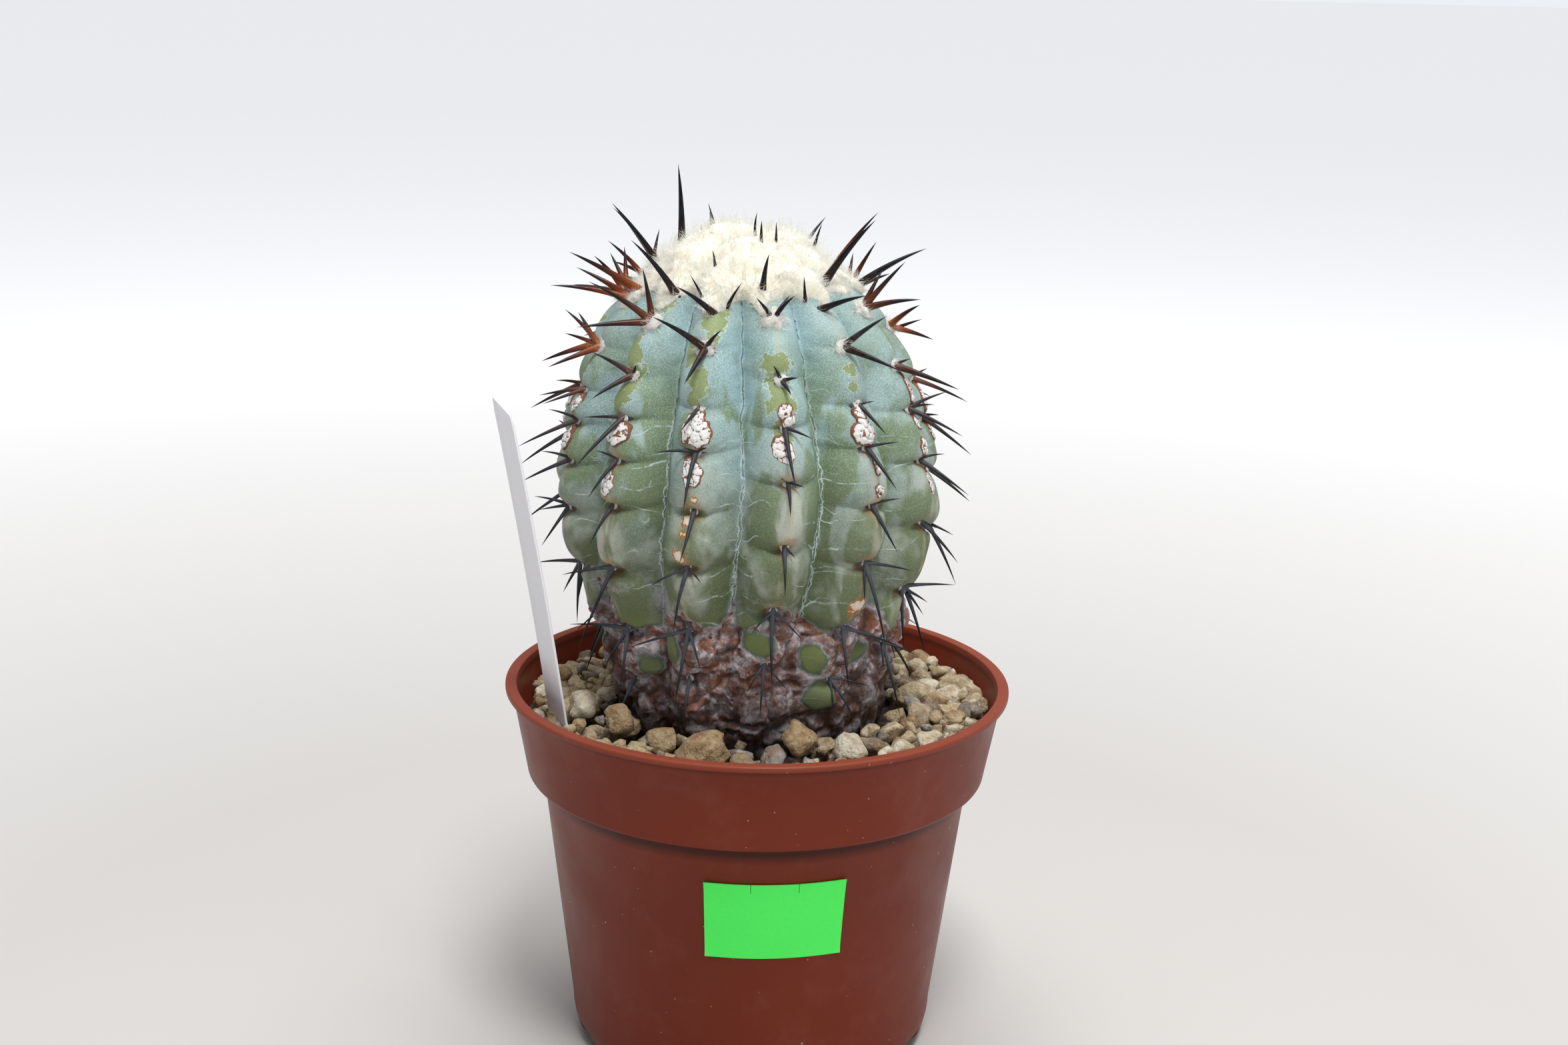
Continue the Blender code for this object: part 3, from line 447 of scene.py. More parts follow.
# Area lamps: place, size and energy, all aimed at the axis at the height LAMP_AIM, in metres
LAMPS = (("key", (0.12, -0.5, 1.1), 0.28, 8.0), ("overhead", (0.05, 0.15, 1.15), 0.9, 9.4),
         ("fill", (0.8, -0.5, 0.45), 0.8, 1.2))
LAMP_AIM = 0.12


class StemSettings(bpy.types.PropertyGroup):
    """Sizes and colours of the cactus's skin."""
    columns: IntProperty(name="Columns per rib", description="Faces across one rib", default=26, min=6)
    rows: IntProperty(name="Rows", description="Faces up the shown stem", default=232, min=40)
    cork_relief: FloatProperty(name="Cork relief", description="Height of the cork's lumps",
                               default=0.0011, unit="LENGTH")
    cork_grain: FloatProperty(name="Cork grain", description="Size of one corky lump",
                              default=0.0135, unit="LENGTH")
    skin_relief: FloatProperty(name="Skin relief", description="Height of the skin's soft dents",
                               default=0.0005, unit="LENGTH")


class SpineSettings(bpy.types.PropertyGroup):
    """Sizes of the spines."""
    fullness: FloatProperty(name="Fullness", description="Spine radius over the solid's",
                            default=0.94, subtype="FACTOR")
    sides: IntProperty(name="Sides", description="Faces round a spine", default=8, min=3)


class WoolSettings(bpy.types.PropertyGroup):
    """Fibres of the crown and the areoles."""
    density: FloatProperty(name="Density", description="Fibres on a square metre of the crown",
                           default=1.5e6)
    length: FloatProperty(name="Length", description="Length of a crown fibre",
                          default=0.0031, unit="LENGTH")
    thickness: FloatProperty(name="Thickness", description="Radius of a fibre at its root",
                             default=0.000045, unit="LENGTH")
    curl: FloatProperty(name="Curl", description="How far a fibre's tip strays",
                        default=0.0019, unit="LENGTH")
    pad_density: FloatProperty(name="Pad density", description="Fibres on a square metre of an areole",
                               default=4.4e6)
    seed: IntProperty(name="Seed", description="Start of the random draws", default=7)


class GravelSettings(bpy.types.PropertyGroup):
    """Stones on the soil."""
    stones: IntProperty(name="Stones", description="How many stones are dropped", default=470)
    smallest: FloatProperty(name="Smallest", description="Radius of the smallest stone",
                            default=0.0014, unit="LENGTH")
    largest: FloatProperty(name="Largest", description="Radius of the largest stone",
                           default=0.0064, unit="LENGTH")
    seed: IntProperty(name="Seed", description="Start of the random draws", default=5)


class PotSettings(bpy.types.PropertyGroup):
    """The pot, its label and its sticker."""
    segments: IntProperty(name="Segments", description="Faces round the pot", default=160, min=24)
    plastic: FloatVectorProperty(name="Plastic", description="Colour of the pot's plastic",
                                 default=(0.485, 0.19, 0.116), subtype="COLOR_GAMMA", size=3)
    paper: FloatVectorProperty(name="Paper", description="Colour of the sticker",
                               default=(0.29, 0.94, 0.36), subtype="COLOR_GAMMA", size=3)


def linear(colour):
    """An sRGB colour, as a hex text or three channels, in the linear values a shader takes."""
    if isinstance(colour, str):
        colour = [int(colour[place:place + 2], 16) / 255 for place in (1, 3, 5)]
    return (*(value / 12.92 if value <= 0.04045 else ((value + 0.055) / 1.055) ** 2.4
              for value in colour), 1)


NOISE_INPUTS = ("Vector", "Scale", "Detail", "Roughness", "Distortion")

# The nodes that recur, by a short name: type, settings, inputs in order and the output taken
KINDS = {
    "attribute": ("ShaderNodeAttribute", {}, (), "Fac"),
    "bump": ("ShaderNodeBump", {}, ("Strength", "Distance", "Height"), 0),
    "colour_noise": ("ShaderNodeTexNoise", {}, NOISE_INPUTS, "Color"),
    "join": ("GeometryNodeJoinGeometry", {}, (0, 0), 0),
    "mix": ("ShaderNodeMix", {"data_type": "RGBA"}, (0, 6, 7), 2),
    "noise": ("ShaderNodeTexNoise", {}, NOISE_INPUTS, 0),
    "object_place": ("ShaderNodeTexCoord", {}, (), "Object"),
    "ramp": ("ShaderNodeValToRGB", {}, (0,), 0),
    "range": ("ShaderNodeMapRange", {}, range(5), 0),
    "separate": ("ShaderNodeSeparateXYZ", {}, (0,), 0),
    "smooth_range": ("ShaderNodeMapRange", {"interpolation_type": "SMOOTHSTEP"}, range(5), 0),
    "stored": ("GeometryNodeInputNamedAttribute", {}, ("Name",), 0),
    "vector_length": ("ShaderNodeVectorMath", {"operation": "LENGTH"}, (0,), "Value"),
    "vector_scale": ("ShaderNodeVectorMath", {"operation": "SCALE"}, (0, "Scale"), 0),
}
KINDS |= {operation.lower(): ("ShaderNodeMath", {"operation": operation}, range(3), 0)
          for operation in ("ABSOLUTE", "ADD", "DIVIDE", "LESS_THAN", "MAXIMUM", "MULTIPLY",
                            "MULTIPLY_ADD", "ROUND", "SMOOTH_MIN", "SUBTRACT", "WRAP")}
KINDS |= {"vector_" + operation.lower(): ("ShaderNodeVectorMath", {"operation": operation}, range(2), 0)
          for operation in ("ADD", "MULTIPLY", "SUBTRACT")}


def feed(node, inputs):
    """Link or set inputs of a node, from pairs of a socket's name and its value."""
    for key, value in inputs:
        socket = node.inputs[key]
        if isinstance(value, bpy.types.NodeSocket):
            node.id_data.links.new(value, socket)
        else:
            is_colour = isinstance(value, str) and value.startswith("#")
            socket.default_value = linear(value) if is_colour else value


def add(tree, kind, *inputs, output=None, stops=(), **settings):
    """Add a node with its inputs, in order or as a dict, and return one of its outputs."""
    kind, own_settings, order, usual_output = KINDS.get(kind, (kind, {}, (), 0))
    made = tree.nodes.new(kind)
    for name, value in {**own_settings, **settings}.items():
        setattr(made, name, value)
    as_dict = inputs and isinstance(inputs[0], dict)
    feed(made, inputs[0].items() if as_dict else zip(order, inputs))
    while stops and len(made.color_ramp.elements) < len(stops):
        made.color_ramp.elements.new(0.5)
    for number, (place, colour) in enumerate(stops):
        made.color_ramp.elements[number].position = place
        made.color_ramp.elements[number].color = linear(colour)
    return made.outputs[usual_output if output is None else output] if made.outputs else made


def new_material(name, look, *values):
    """A material whose look adds its nodes and tells what the Principled shader takes."""
    made = bpy.data.materials.new(name)
    made.use_nodes = True
    node = partial(add, made.node_tree)
    taken = look(node, node("object_place"), *values)
    feed(made.node_tree.nodes["Principled BSDF"], taken.items())
    return made


def new_object(name, mesh, material=None):
    """A smooth-shaded object of a mesh, at the origin."""
    mesh.shade_smooth()
    if material:
        mesh.materials.clear()
        mesh.materials.append(material)
    made = bpy.data.objects.new(name, mesh)
    bpy.context.scene.collection.objects.link(made)
    return made


def finished(bm, name):
    """The plain mesh of a bmesh, which is freed."""
    mesh = bpy.data.meshes.new(name)
    bm.to_mesh(mesh)
    bm.free()
    return mesh


def present(piece, node):
    """Let a finished piece stand for its solid."""
    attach(piece, "root")
    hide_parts(node)


def growth_tree(name, inputs):
    """A geometry tree with these named inputs: what adds its nodes, and what they are given."""
    tree = bpy.data.node_groups.new(name, "GeometryNodeTree")
    for side in ("INPUT", "OUTPUT"):
        tree.interface.new_socket("Geometry", in_out=side, socket_type="NodeSocketGeometry")
    for label, (kind, default) in {**inputs, "Material": ("Material", None)}.items():
        socket = tree.interface.new_socket(label, in_out="INPUT", socket_type="NodeSocket" + kind)
        if default is not None:
            socket.default_value = default
    node = partial(add, tree)
    return node, node("NodeGroupInput").node.outputs


def end_tree(node, geometry, given):
    """Close a geometry tree with real meshes of one material."""
    real = node("GeometryNodeRealizeInstances", {0: geometry})
    smooth = node("GeometryNodeSetShadeSmooth", {0: real})
    dressed = node("GeometryNodeSetMaterial", {"Geometry": smooth, "Material": given["Material"]})
    return node("NodeGroupOutput", {0: dressed}).id_data


def grow(piece, tree, values):
    """Run a geometry tree on a piece with its named inputs set, and keep the plain mesh."""
    modifier = piece.modifiers.new(tree.name, "NODES")
    modifier.node_group = tree
    for item in tree.interface.items_tree:
        if item.in_out == "INPUT" and item.name in values:
            modifier[item.identifier] = values[item.name]
    settle(piece)


def settle(piece):
    """Replace a piece's mesh by what its modifiers make of it."""
    depsgraph = bpy.context.evaluated_depsgraph_get()
    mesh = bpy.data.meshes.new_from_object(piece.evaluated_get(depsgraph))
    piece.modifiers.clear()
    piece.data = mesh


def store(mesh, name, values):
    """Keep one number for each vertex."""
    field = mesh.attributes.new(name, "FLOAT", "POINT")
    field.data.foreach_set("value", np.ravel(values).astype(np.float32))


def read(table, x):
    """Read a table of (x, value) pairs, straight between them and level past its ends."""
    return np.interp(x, [pair[0] for pair in table], [pair[1] for pair in table])


def smooth_line(points, steps=12):
    """A Catmull-Rom line through 2-D points."""
    ends = [points[0], *points, points[-1]]
    line = []
    for before, start, end, after in zip(ends, ends[1:], ends[2:], ends[3:]):
        for step in range(steps):
            t = step / steps
            line.append(tuple(
                0.5 * (2 * b + (c - a) * t + (2 * a - 5 * b + 4 * c - d) * t ** 2
                       + (3 * b - a - 3 * c + d) * t ** 3)
                for a, b, c, d in zip(before, start, end, after)))
    line.append(tuple(points[-1]))
    return line


def lumpy(spot, waves, shift, level=0):
    """Noise over a level, in waves that are pairs of fineness and size."""
    return sum((size * noise.noise(spot * fineness + shift) for fineness, size in waves), level)


def even_rows(line, count):
    """Points at even distances along a line, ends included."""
    line = np.array(line, float)
    stations = np.concatenate(([0], np.cumsum(np.linalg.norm(np.diff(line, axis=0), axis=1))))
    places = np.linspace(0, stations[-1], count)
    return np.stack([np.interp(places, stations, line[:, axis]) for axis in (0, 1)], axis=1)


STEM_LINE = smooth_line(STEM_PROFILE)
RADIUS_BY_HEIGHT = [(height, radius) for radius, height in STEM_LINE]


def lean(height):
    """How far the stem's axis stands from the pot's at a height, in mm."""
    return LEAN[0] + LEAN[1] * height


def rib_heights(rib):
    """The heights of a rib's areoles, top first."""
    top, *others = RIB_KINDS[rib % RIBS]
    return [top] + [height + RIB_SHIFT[rib % RIBS] for height in others]


def rib_angle(place, height):
    """The angle of a place round the stem, counted in ribs, where the ribs twist low down."""
    return np.radians(RIB_ANGLE + place * 360 / RIBS + read(TWIST, height))


def scallop(rib, height):
    """The swelling of a crest between two areoles, 0 at an areole and 1 on a tubercle's chin."""
    marks = np.array([SCALLOP_ENDS[1], *rib_heights(rib)[::-1], SCALLOP_ENDS[0]])
    above = np.clip(np.searchsorted(marks, height), 1, len(marks) - 1)
    share = np.clip((height - marks[above - 1]) / (marks[above] - marks[above - 1]), 0, 1)
    return np.sin(np.pi * share ** read(CHIN, height)) ** SCALLOP_FULLNESS


def skin_point(rib, side, height, out=0):
    """A point of a crest, side mm beside it and out mm over it, in metres."""
    crest = read(RADIUS_BY_HEIGHT, height)
    aside = side / (2 * math.pi * crest / RIBS)
    fullness = max(0, math.cos(math.pi * aside)) ** RIB_ROUNDNESS
    radius = crest - read(GROOVE_DEPTH, height) * (1 - fullness) + out
    radius += read(SCALLOP, height) * (scallop(rib, np.array(height)) - SCALLOP_LEVEL) * fullness
    angle = rib_angle(rib + aside, height)
    return Vector((lean(height) + radius * math.sin(angle), -radius * math.cos(angle), height)) * MM \
        + Vector((0, 0, RIM))


def areole(rib, height):
    """An areole's place and its directions to the side, up the stem and out of it."""
    step = 3
    rise = read(RADIUS_BY_HEIGHT, height + step) - read(RADIUS_BY_HEIGHT, height - step)
    angle = rib_angle(rib, height)
    side = Vector((math.cos(angle), math.sin(angle), 0))
    outward = Vector((math.sin(angle), -math.cos(angle), 0))
    up = (outward * rise + Vector((0, 0, 2 * step))).normalized()
    return skin_point(rib, 0, height), side, up, side.cross(up)


def shown_areoles():
    """Every areole below the wool, as rib, number from the top and height."""
    return [(rib, number, height) for rib in range(RIBS)
            for number, height in enumerate(rib_heights(rib)) if height <= UNDER_WOOL]


def grid_mesh(name, points, low_end, high_end):
    """A closed skin over rings of points, with a fan to a point at either end."""
    rows, columns, _ = points.shape
    vertices = [low_end, *points.reshape(-1, 3).tolist(), high_end]
    faces = []
    for column in range(columns):
        after = (column + 1) % columns
        faces.append((0, 1 + after, 1 + column))
        faces.append((len(vertices) - 1, 1 + (rows - 1) * columns + column,
                      1 + (rows - 1) * columns + after))
        for row in range(rows - 1):
            start = 1 + row * columns
            faces.append((start + column, start + after, start + columns + after,
                          start + columns + column))
    mesh = bpy.data.meshes.new(name)
    mesh.from_pydata(vertices, [], faces)
    return mesh


def map_ribs(mesh, columns, crest, height):
    """A UV map in mm: across from the nearest groove, each set GROOVE_GAP on, and up."""
    rows, total = len(height), RIBS * columns
    corners = np.zeros(len(mesh.loops), int)
    mesh.loops.foreach_get("vertex_index", corners)
    starts = np.zeros(len(mesh.polygons), int)
    mesh.polygons.foreach_get("loop_start", starts)
    face = np.searchsorted(starts, np.arange(len(corners)), side="right") - 1
    column = face // (rows + 1)
    grid = np.clip(corners - 1, 0, rows * total - 1)
    after = (grid % total - column) % total
    after = np.where(after > 1, 0, after)
    groove = (column + columns // 2) // columns
    across = (column + after) / columns - groove
    row = grid // total
    run = groove * GROOVE_GAP + across * 2 * math.pi * crest[row] / RIBS
    places = np.stack((run, height[row]), axis=1)
    layer = mesh.uv_layers.new(name="rib_map")
    layer.data.foreach_set("uv", places.astype(np.float32).ravel())


def ellipse_field(patches, rib, aside, height, width):
    """How deep inside the nearest elliptical patch each place is: 1 in a middle, 0 on an edge."""
    best = np.full(np.broadcast(aside, height).shape, OUTSIDE)
    for patch_rib, middle, side, half_width, half_height in patches:
        offset = (rib + aside - patch_rib + RIBS / 2) % RIBS - RIBS / 2
        across = (offset * width - side) / half_width
        best = np.maximum(best, 1 - np.hypot(across, (height - middle) / half_height))
    return best


def fold_share(rib, aside, height, width, draw):
    """How far each place lies in the folds at a rib's areoles: 1 on a fold's own line."""
    run = np.abs(aside) * width
    share = np.zeros(height.shape[:1] + aside.shape)
    for middle in rib_heights(rib):
        for flank in (-1, 1):
            line = middle - FOLD_DROP + draw.uniform(-FOLD_SLOPE, FOLD_SLOPE) * run
            for size, wave in FOLD_WAVES:
                ripple = size * np.sin(wave * run + draw.uniform(0, 6))
                line = line + ripple * np.minimum(1, run / WAVES_FULL)
            fold = np.exp(-((height - line) / read(FOLD_WIDTH, height)) ** 2)
            fold *= FOLD_END + (1 - FOLD_END) * np.exp(-(run / FOLD_REACH) ** 2)
            share = np.maximum(share, np.where(np.sign(aside + 1e-9) == flank, fold, 0))
    return share


def build_stem(settings):
    """The ribbed skin as one closed mesh, with the fields that its colours follow."""
    line = np.array(STEM_LINE)
    buried = even_rows(line[line[:, 1] < BURIED], BURIED_ROWS)[1:]
    shown = even_rows(line[line[:, 1] >= BURIED], settings.rows)
    crest, height = np.vstack((buried, shown)).T[:, :, None]
    index = np.arange(RIBS * settings.columns)
    rib = index // settings.columns
    aside = (index % settings.columns) / settings.columns - 0.5
    width = 2 * math.pi * crest / RIBS
    fullness = np.hypot(np.cos(np.pi * aside), GROOVE_SOFTNESS) ** RIB_ROUNDNESS
    radius = crest - read(GROOVE_DEPTH, height) * (1 - fullness)
    angle = rib_angle(rib + aside, height)
    draw = random.Random(3)
    felt = np.full(radius.shape, FAR)
    folds = np.zeros(radius.shape)
    for number in range(RIBS):
        own = slice(number * settings.columns, (number + 1) * settings.columns)
        swell = scallop(number, height) - SCALLOP_LEVEL
        radius[:, own] += read(SCALLOP, height) * swell * fullness[own]
        folds[:, own] = fold_share(number, aside[own], height, width, draw)
        radius[:, own] -= read(FOLD_DEPTH, height) * folds[:, own]
        for middle in rib_heights(number):
            felt[:, own] = np.minimum(felt[:, own], np.hypot(aside[own] * width, height - middle))
    for row, (level, around) in enumerate(zip(height[:, 0], crest[:, 0])):
        amount = read(SKIN_SWELL, level)
        if amount > 0:
            spots = (Vector((math.sin(turn) * around, math.cos(turn) * around, level))
                     for turn in angle[row])
            radius[row] += [amount * noise.noise(spot / SWELL_SIZE) for spot in spots]
    groove = (0.5 - np.abs(aside)) * width
    stray = np.array([[sum(size * noise.noise(Vector((number * GROOVE_SEED, level / length, size)))
                           for size, length in GROOVE_STRAY)
                       for number in range(RIBS)] for level in height[:, 0]])
    nearest = np.round(index / settings.columns).astype(int) % RIBS
    angle += stray[:, nearest] * np.exp(-(groove / GROOVE_REACH) ** 2) / crest
    radius -= DIMPLE_DEPTH * np.exp(-(felt / DIMPLE_SIZE) ** 2)
    points = np.stack((lean(height) + radius * np.sin(angle), -radius * np.cos(angle),
                       np.broadcast_to(height, radius.shape)), axis=2) * MM + (0, 0, RIM)
    low = (lean(STEM_PROFILE[0][1]) * MM, 0, RIM + STEM_PROFILE[0][1] * MM)
    high = (lean(STEM_APEX) * MM, 0, RIM + STEM_APEX * MM)
    mesh = grid_mesh("skin", points, low, high)
    map_ribs(mesh, settings.columns, crest[:, 0], height[:, 0])
    islands = ellipse_field(ISLANDS, rib, aside, height, width)
    for row, level in enumerate(height[:, 0]):
        if level < ISLAND_TOP:
            islands[row] += [ISLAND_RAGGED * noise.noise(Vector(point) / ISLAND_GRAIN)
                             for point in points[row]]
    fields = {
        "crest": 1 - 2 * np.abs(aside) + 0 * height,
        "felt": felt,
        "fold": folds,
        "cork": read(CORK_AMOUNT, height)
                - ISLAND_CLEAR * np.clip(ISLAND_EDGE[0] * islands + ISLAND_EDGE[1], 0, 1),
        "flake": ellipse_field(FLAKES, rib, aside, height, width),
        "scar": ellipse_field([(*scar, scar[3]) for scar in SCARS], rib, aside, height, width),
    }
    for name, values in fields.items():
        store(mesh, name, np.concatenate(([0], np.ravel(values), [0])))
    return mesh


def skin_relief_tree():
    """Soft dents all over the skin, and corky lumps where the cork attribute says."""
    node, given = growth_tree("skin_relief", {
        "Cork relief": ("Float", 0.001), "Cork grain": ("Float", 0.006),
        "Skin relief": ("Float", 0.0005)})
    place = node("GeometryNodeInputPosition")
    amount = node("smooth_range", node("stored", "cork"), 0.2, 0.75)
    scale = node("divide", 1.0, given["Cork grain"])
    bend = node("vector_scale", node("colour_noise", place, 160.0, 2.0), 0.011)
    tall = node("vector_multiply", node("vector_add", place, bend), (1, 1, 1.35))
    crease = node("ShaderNodeTexVoronoi", {"Vector": tall, "Scale": scale}, output="Distance",
                  feature="DISTANCE_TO_EDGE")
    veins = node("subtract", node("noise", tall, 130.0, 2.0), 0.5)
    veins = node("multiply_add", node("absolute", veins), 3.4, 0.05)
    crease = node("smooth_min", crease, veins, 0.06)
    lumps = node("range", crease, 0.0, 0.22, -1.0, 0.4, interpolation_type="SMOOTHERSTEP")
    fine = node("range", node("noise", tall, 420.0, 3.0, 0.6), 0.3, 0.7, -0.15, 0.15)
    folds = node("multiply", node("add", lumps, fine), amount)
    folds = node("multiply", folds, given["Cork relief"])
    dents = node("subtract", node("noise", place, 95.0, 2.0), 0.5)
    rise = node("add", folds, node("multiply", dents, given["Skin relief"]))
    offset = node("vector_scale", node("GeometryNodeInputNormal"), rise)
    kept = node("GeometryNodeStoreNamedAttribute", {"Geometry": given["Geometry"], "Name": "crease",
                                                    "Value": crease})
    moved = node("GeometryNodeSetPosition", {"Geometry": kept, "Offset": offset})
    return end_tree(node, moved, given)


def skin_look(node, place):
    """Living skin under a bloom of wax, which gives the eye a dry, powdery blue-grey."""
    level = node("separate", place, output="Z")
    value = {name: node("attribute", attribute_name=name)
             for name in ("crest", "felt", "fold", "cork", "flake", "scar", "crease")}
    broad = node("noise", place, 95.0, 4.0, 0.6)
    mid = node("noise", place, 420.0, 4.0, 0.65)
    # The bloom's grains are 0.3 mm, as coarse as they show
    grain = node("noise", place, 3300.0, 2.0, 0.7)

    # Olive skin that greys towards the crown
    high = node("smooth_range", level, RIM + 0.036, RIM + 0.074)
    patchy = node("range", broad, 0.36, 0.64)
    olive = node("mix", patchy, "#67735B", "#A0A79A")
    skin = node("mix", high, olive, node("mix", patchy, "#839C94", "#A8BDBA"))

    # Beige, thin-bloomed crests low on the stem
    low = node("smooth_range", level, RIM + 0.070, RIM + 0.044)
    pale = node("multiply", low, node("smooth_range", value["crest"], 0.4, 0.95))
    pale = node("multiply", pale, node("range", broad, 0.36, 0.56, 0.3, 0.9))

    # Blue bloom of wax, thick in the grooves and towards the crown, broken into grains
    on_crest = node("range", level, RIM + 0.058, RIM + 0.09, 0.1, 0.52)
    valley = node("smooth_range", value["crest"], 0.8, 0.05, on_crest, 1.0)
    waxed = node("smooth_range", level, RIM + 0.030, RIM + 0.088, 0.2, 0.94)
    bloom = node("multiply", valley, waxed)
    ahead = node("range", node("separate", place, output="Y"), -0.008, -0.032, 0.5, 1.0)
    bloom = node("multiply", bloom, ahead)
    bloom = node("add", bloom, node("range", broad, 0.3, 0.7, 0.2, -0.2))
    bloom = node("add", bloom, node("range", grain, 0.3, 0.7, -0.3, 0.3))
    bloom = node("smooth_range", bloom, 0.2, 1.0, 0.0, 0.92)
    blue = node("mix", high, "#94A8A6", "#9CBBC2")

    # Green shows through where the bloom is rubbed thin on the flanks
    rub = node("ShaderNodeMapping", {0: place, "Scale": (1.0, 1.0, 0.55), "Rotation": (0.5, 0.2, 0)})
    rub = node("smooth_range", node("noise", rub, 100.0, 3.0, 0.5, 0.4), 0.45, 0.57, 0.0, 0.9)
    rub = node("multiply", rub, node("range", level, RIM + 0.072, RIM + 0.088, 1.0, 0.15))
    green = node("mix", high, "#5B673C", "#74885E")

    # Frost of pale wax grains, and pits between them
    thick = node("range", level, RIM + 0.04, RIM + 0.07, 0.3, 0.48)
    frost = node("range", grain, 0.48, 0.7, 0.0, thick)
    frosted = node("mix", high, "#A8B0A6", "#BED0D1")
    pitted = node("range", grain, 0.5, 0.34, 0.0, 0.32)

    # A dry, tan line that comes and goes along each crest
    edge = node("range", value["crest"], 0.91, 0.98, 0.0, 0.6)
    edge = node("multiply", edge, node("range", mid, 0.42, 0.6))

    # Painted shade: dark olive in the folds where the tubercles fold over one another
    painted_fold_shade = node("range", value["fold"], 0.6, 0.98, 0.0, 0.55)
    painted_fold_shade = node("multiply", painted_fold_shade, node("range", level, RIM + 0.066, RIM + 0.05))

    # Flaked patches of fresh green with a chalky, ragged edge
    ragged = node("range", mid, 0.3, 0.7, -0.6, 0.6)
    patch = node("add", value["flake"], ragged)
    rimmed = node("range", patch, 0.0, 0.1, 0.0, 0.7)
    bare = node("range", patch, 0.12, 0.17)
    leaf = node("mix", broad, "#6B7C4A", "#98A473")
    leaf = node("mix", node("range", grain, 0.45, 0.75, 0.0, 0.5), leaf, "#AEB992")

    # Dry crackle: two white lines along each groove, and thin lines that run out of them
    places = node("ShaderNodeUVMap", uv_map="rib_map")
    sway = node("colour_noise", place, 520.0, 5.0, 0.75)
    sway = node("vector_scale", node("vector_subtract", sway, (0.5, 0.5, 0.5)), 1.5)
    swayed = node("vector_add", places, sway)
    frayed = node("vector_add", places, node("vector_scale", sway, 0.7))
    across = node("wrap", node("separate", swayed, output="X"), -GROOVE_GAP / 2, GROOVE_GAP / 2)
    away = node("absolute", across)
    seam = node("subtract", away, node("range", mid, 0.4, 0.7, 0.1, 0.75))
    seam = node("range", node("absolute", seam), 0.19, 0.06)
    number = node("multiply", node("separate", places, output="X"), 1 / GROOVE_GAP)
    number = node("round", number)
    upward = node("multiply_add", number, 17.3, node("separate", frayed, output="Y"))
    nets = []
    for spacing, seed, slant, half_width, reach in ((7.5, 0.0, 90.0, 0.21, 0.85),
                                                    (7.0, 5.0, 150.0, 0.15, 0.4)):
        tilt = node("ShaderNodeTexNoise", {"Vector": place, "W": seed, "Scale": slant, "Detail": 1.0},
                    noise_dimensions="4D")
        tilt = node("multiply", node("multiply_add", tilt, 11.0, upward), 1 / spacing)
        net = node("ShaderNodeTexVoronoi", {"W": tilt, "Scale": 1.0, "Randomness": 0.9},
                   output="Distance", feature="DISTANCE_TO_EDGE", voronoi_dimensions="1D")
        net = node("range", net, half_width / spacing, half_width * 0.35 / spacing)
        near = node("range", value["crest"], reach, reach * 0.45)
        nets.append(node("multiply", net, near))
    broken = node("range", node("noise", place, 230.0, 4.0, 0.7), 0.45, 0.58, 0.05, 1.0)
    web = node("multiply", node("maximum", nets[0], nets[1]), broken)
    crackle = node("maximum", seam, web)
    aged = node("range", level, RIM + 0.080, RIM + 0.062, 0.1, 0.88)
    crackle = node("multiply", crackle, aged)
    slit = node("range", away, 0.2, 0.07)
    tight = node("range", level, RIM + 0.060, RIM + 0.076, 0.5, 1.0)
    slit = node("multiply", slit, node("range", mid, 0.36, 0.52, 0.1, 0.85))
    slit = node("multiply", slit, tight)

    # Orange-brown stain round the older areoles and a brown ring on healed scars
    stain = node("add", value["felt"], node("range", mid, 0.25, 0.75, -1.0, 1.0))
    stain = node("range", stain, 2.8, 1.9, 0.0, 0.5)
    stain = node("multiply", stain, node("range", level, RIM + 0.074, RIM + 0.06))
    scar = node("add", value["scar"], ragged)
    scar_colour = node("ramp", scar, stops=((0.0, "#B98748"), (0.22, "#9A5326"), (0.36, "#D9C6A8"),
                                            (0.8, "#E9E1D2")))
    scarred = node("range", scar, -0.05, 0.06)

    # Cork: grey-lilac film on purple-brown lumps, with dark creases and orange tears
    film = node("noise", place, 150.0, 6.0, 0.7, 0.3)
    cork_colour = node("ramp", film, stops=((0.3, "#3F2A25"), (0.41, "#6E5049"), (0.47, "#86736F"),
                                            (0.52, "#A99EA1"), (0.57, "#CFCBD1"), (0.62, "#9E8F93"),
                                            (0.7, "#84685E")))
    tear = node("noise", place, 150.0, 5.0, 0.7, 1.2)
    tear = node("add", tear, node("range", value["crease"], 0.25, 0.05, 0.0, 0.1))
    cork_colour = node("mix", node("range", tear, 0.58, 0.65, 0.0, 0.8), cork_colour, "#93552F")
    sunk = node("range", value["crease"], 0.07, 0.02, 0.0, 0.7)
    cork_colour = node("mix", sunk, cork_colour, "#2E1D1A")

    # Yellower green on what the cork has left bare
    bare_green = node("range", level, RIM + 0.027, RIM + 0.02, 0.0, 0.8)
    mossy = node("ramp", value["cork"], stops=((0.06, "#727F49"), (0.25, "#4C5E40"), (0.45, "#55645C")))
    corky = node("multiply_add", ragged, 0.35, value["cork"])
    fringe = node("range", corky, 0.3, 0.5, 0.0, 0.7)
    corked = node("range", corky, 0.5, 0.58)
    # Painted shade: the stem turns near black towards its foot down in the pot
    foot = node("range", level, RIM + 0.01, RIM - 0.006, 0.0, 0.75)

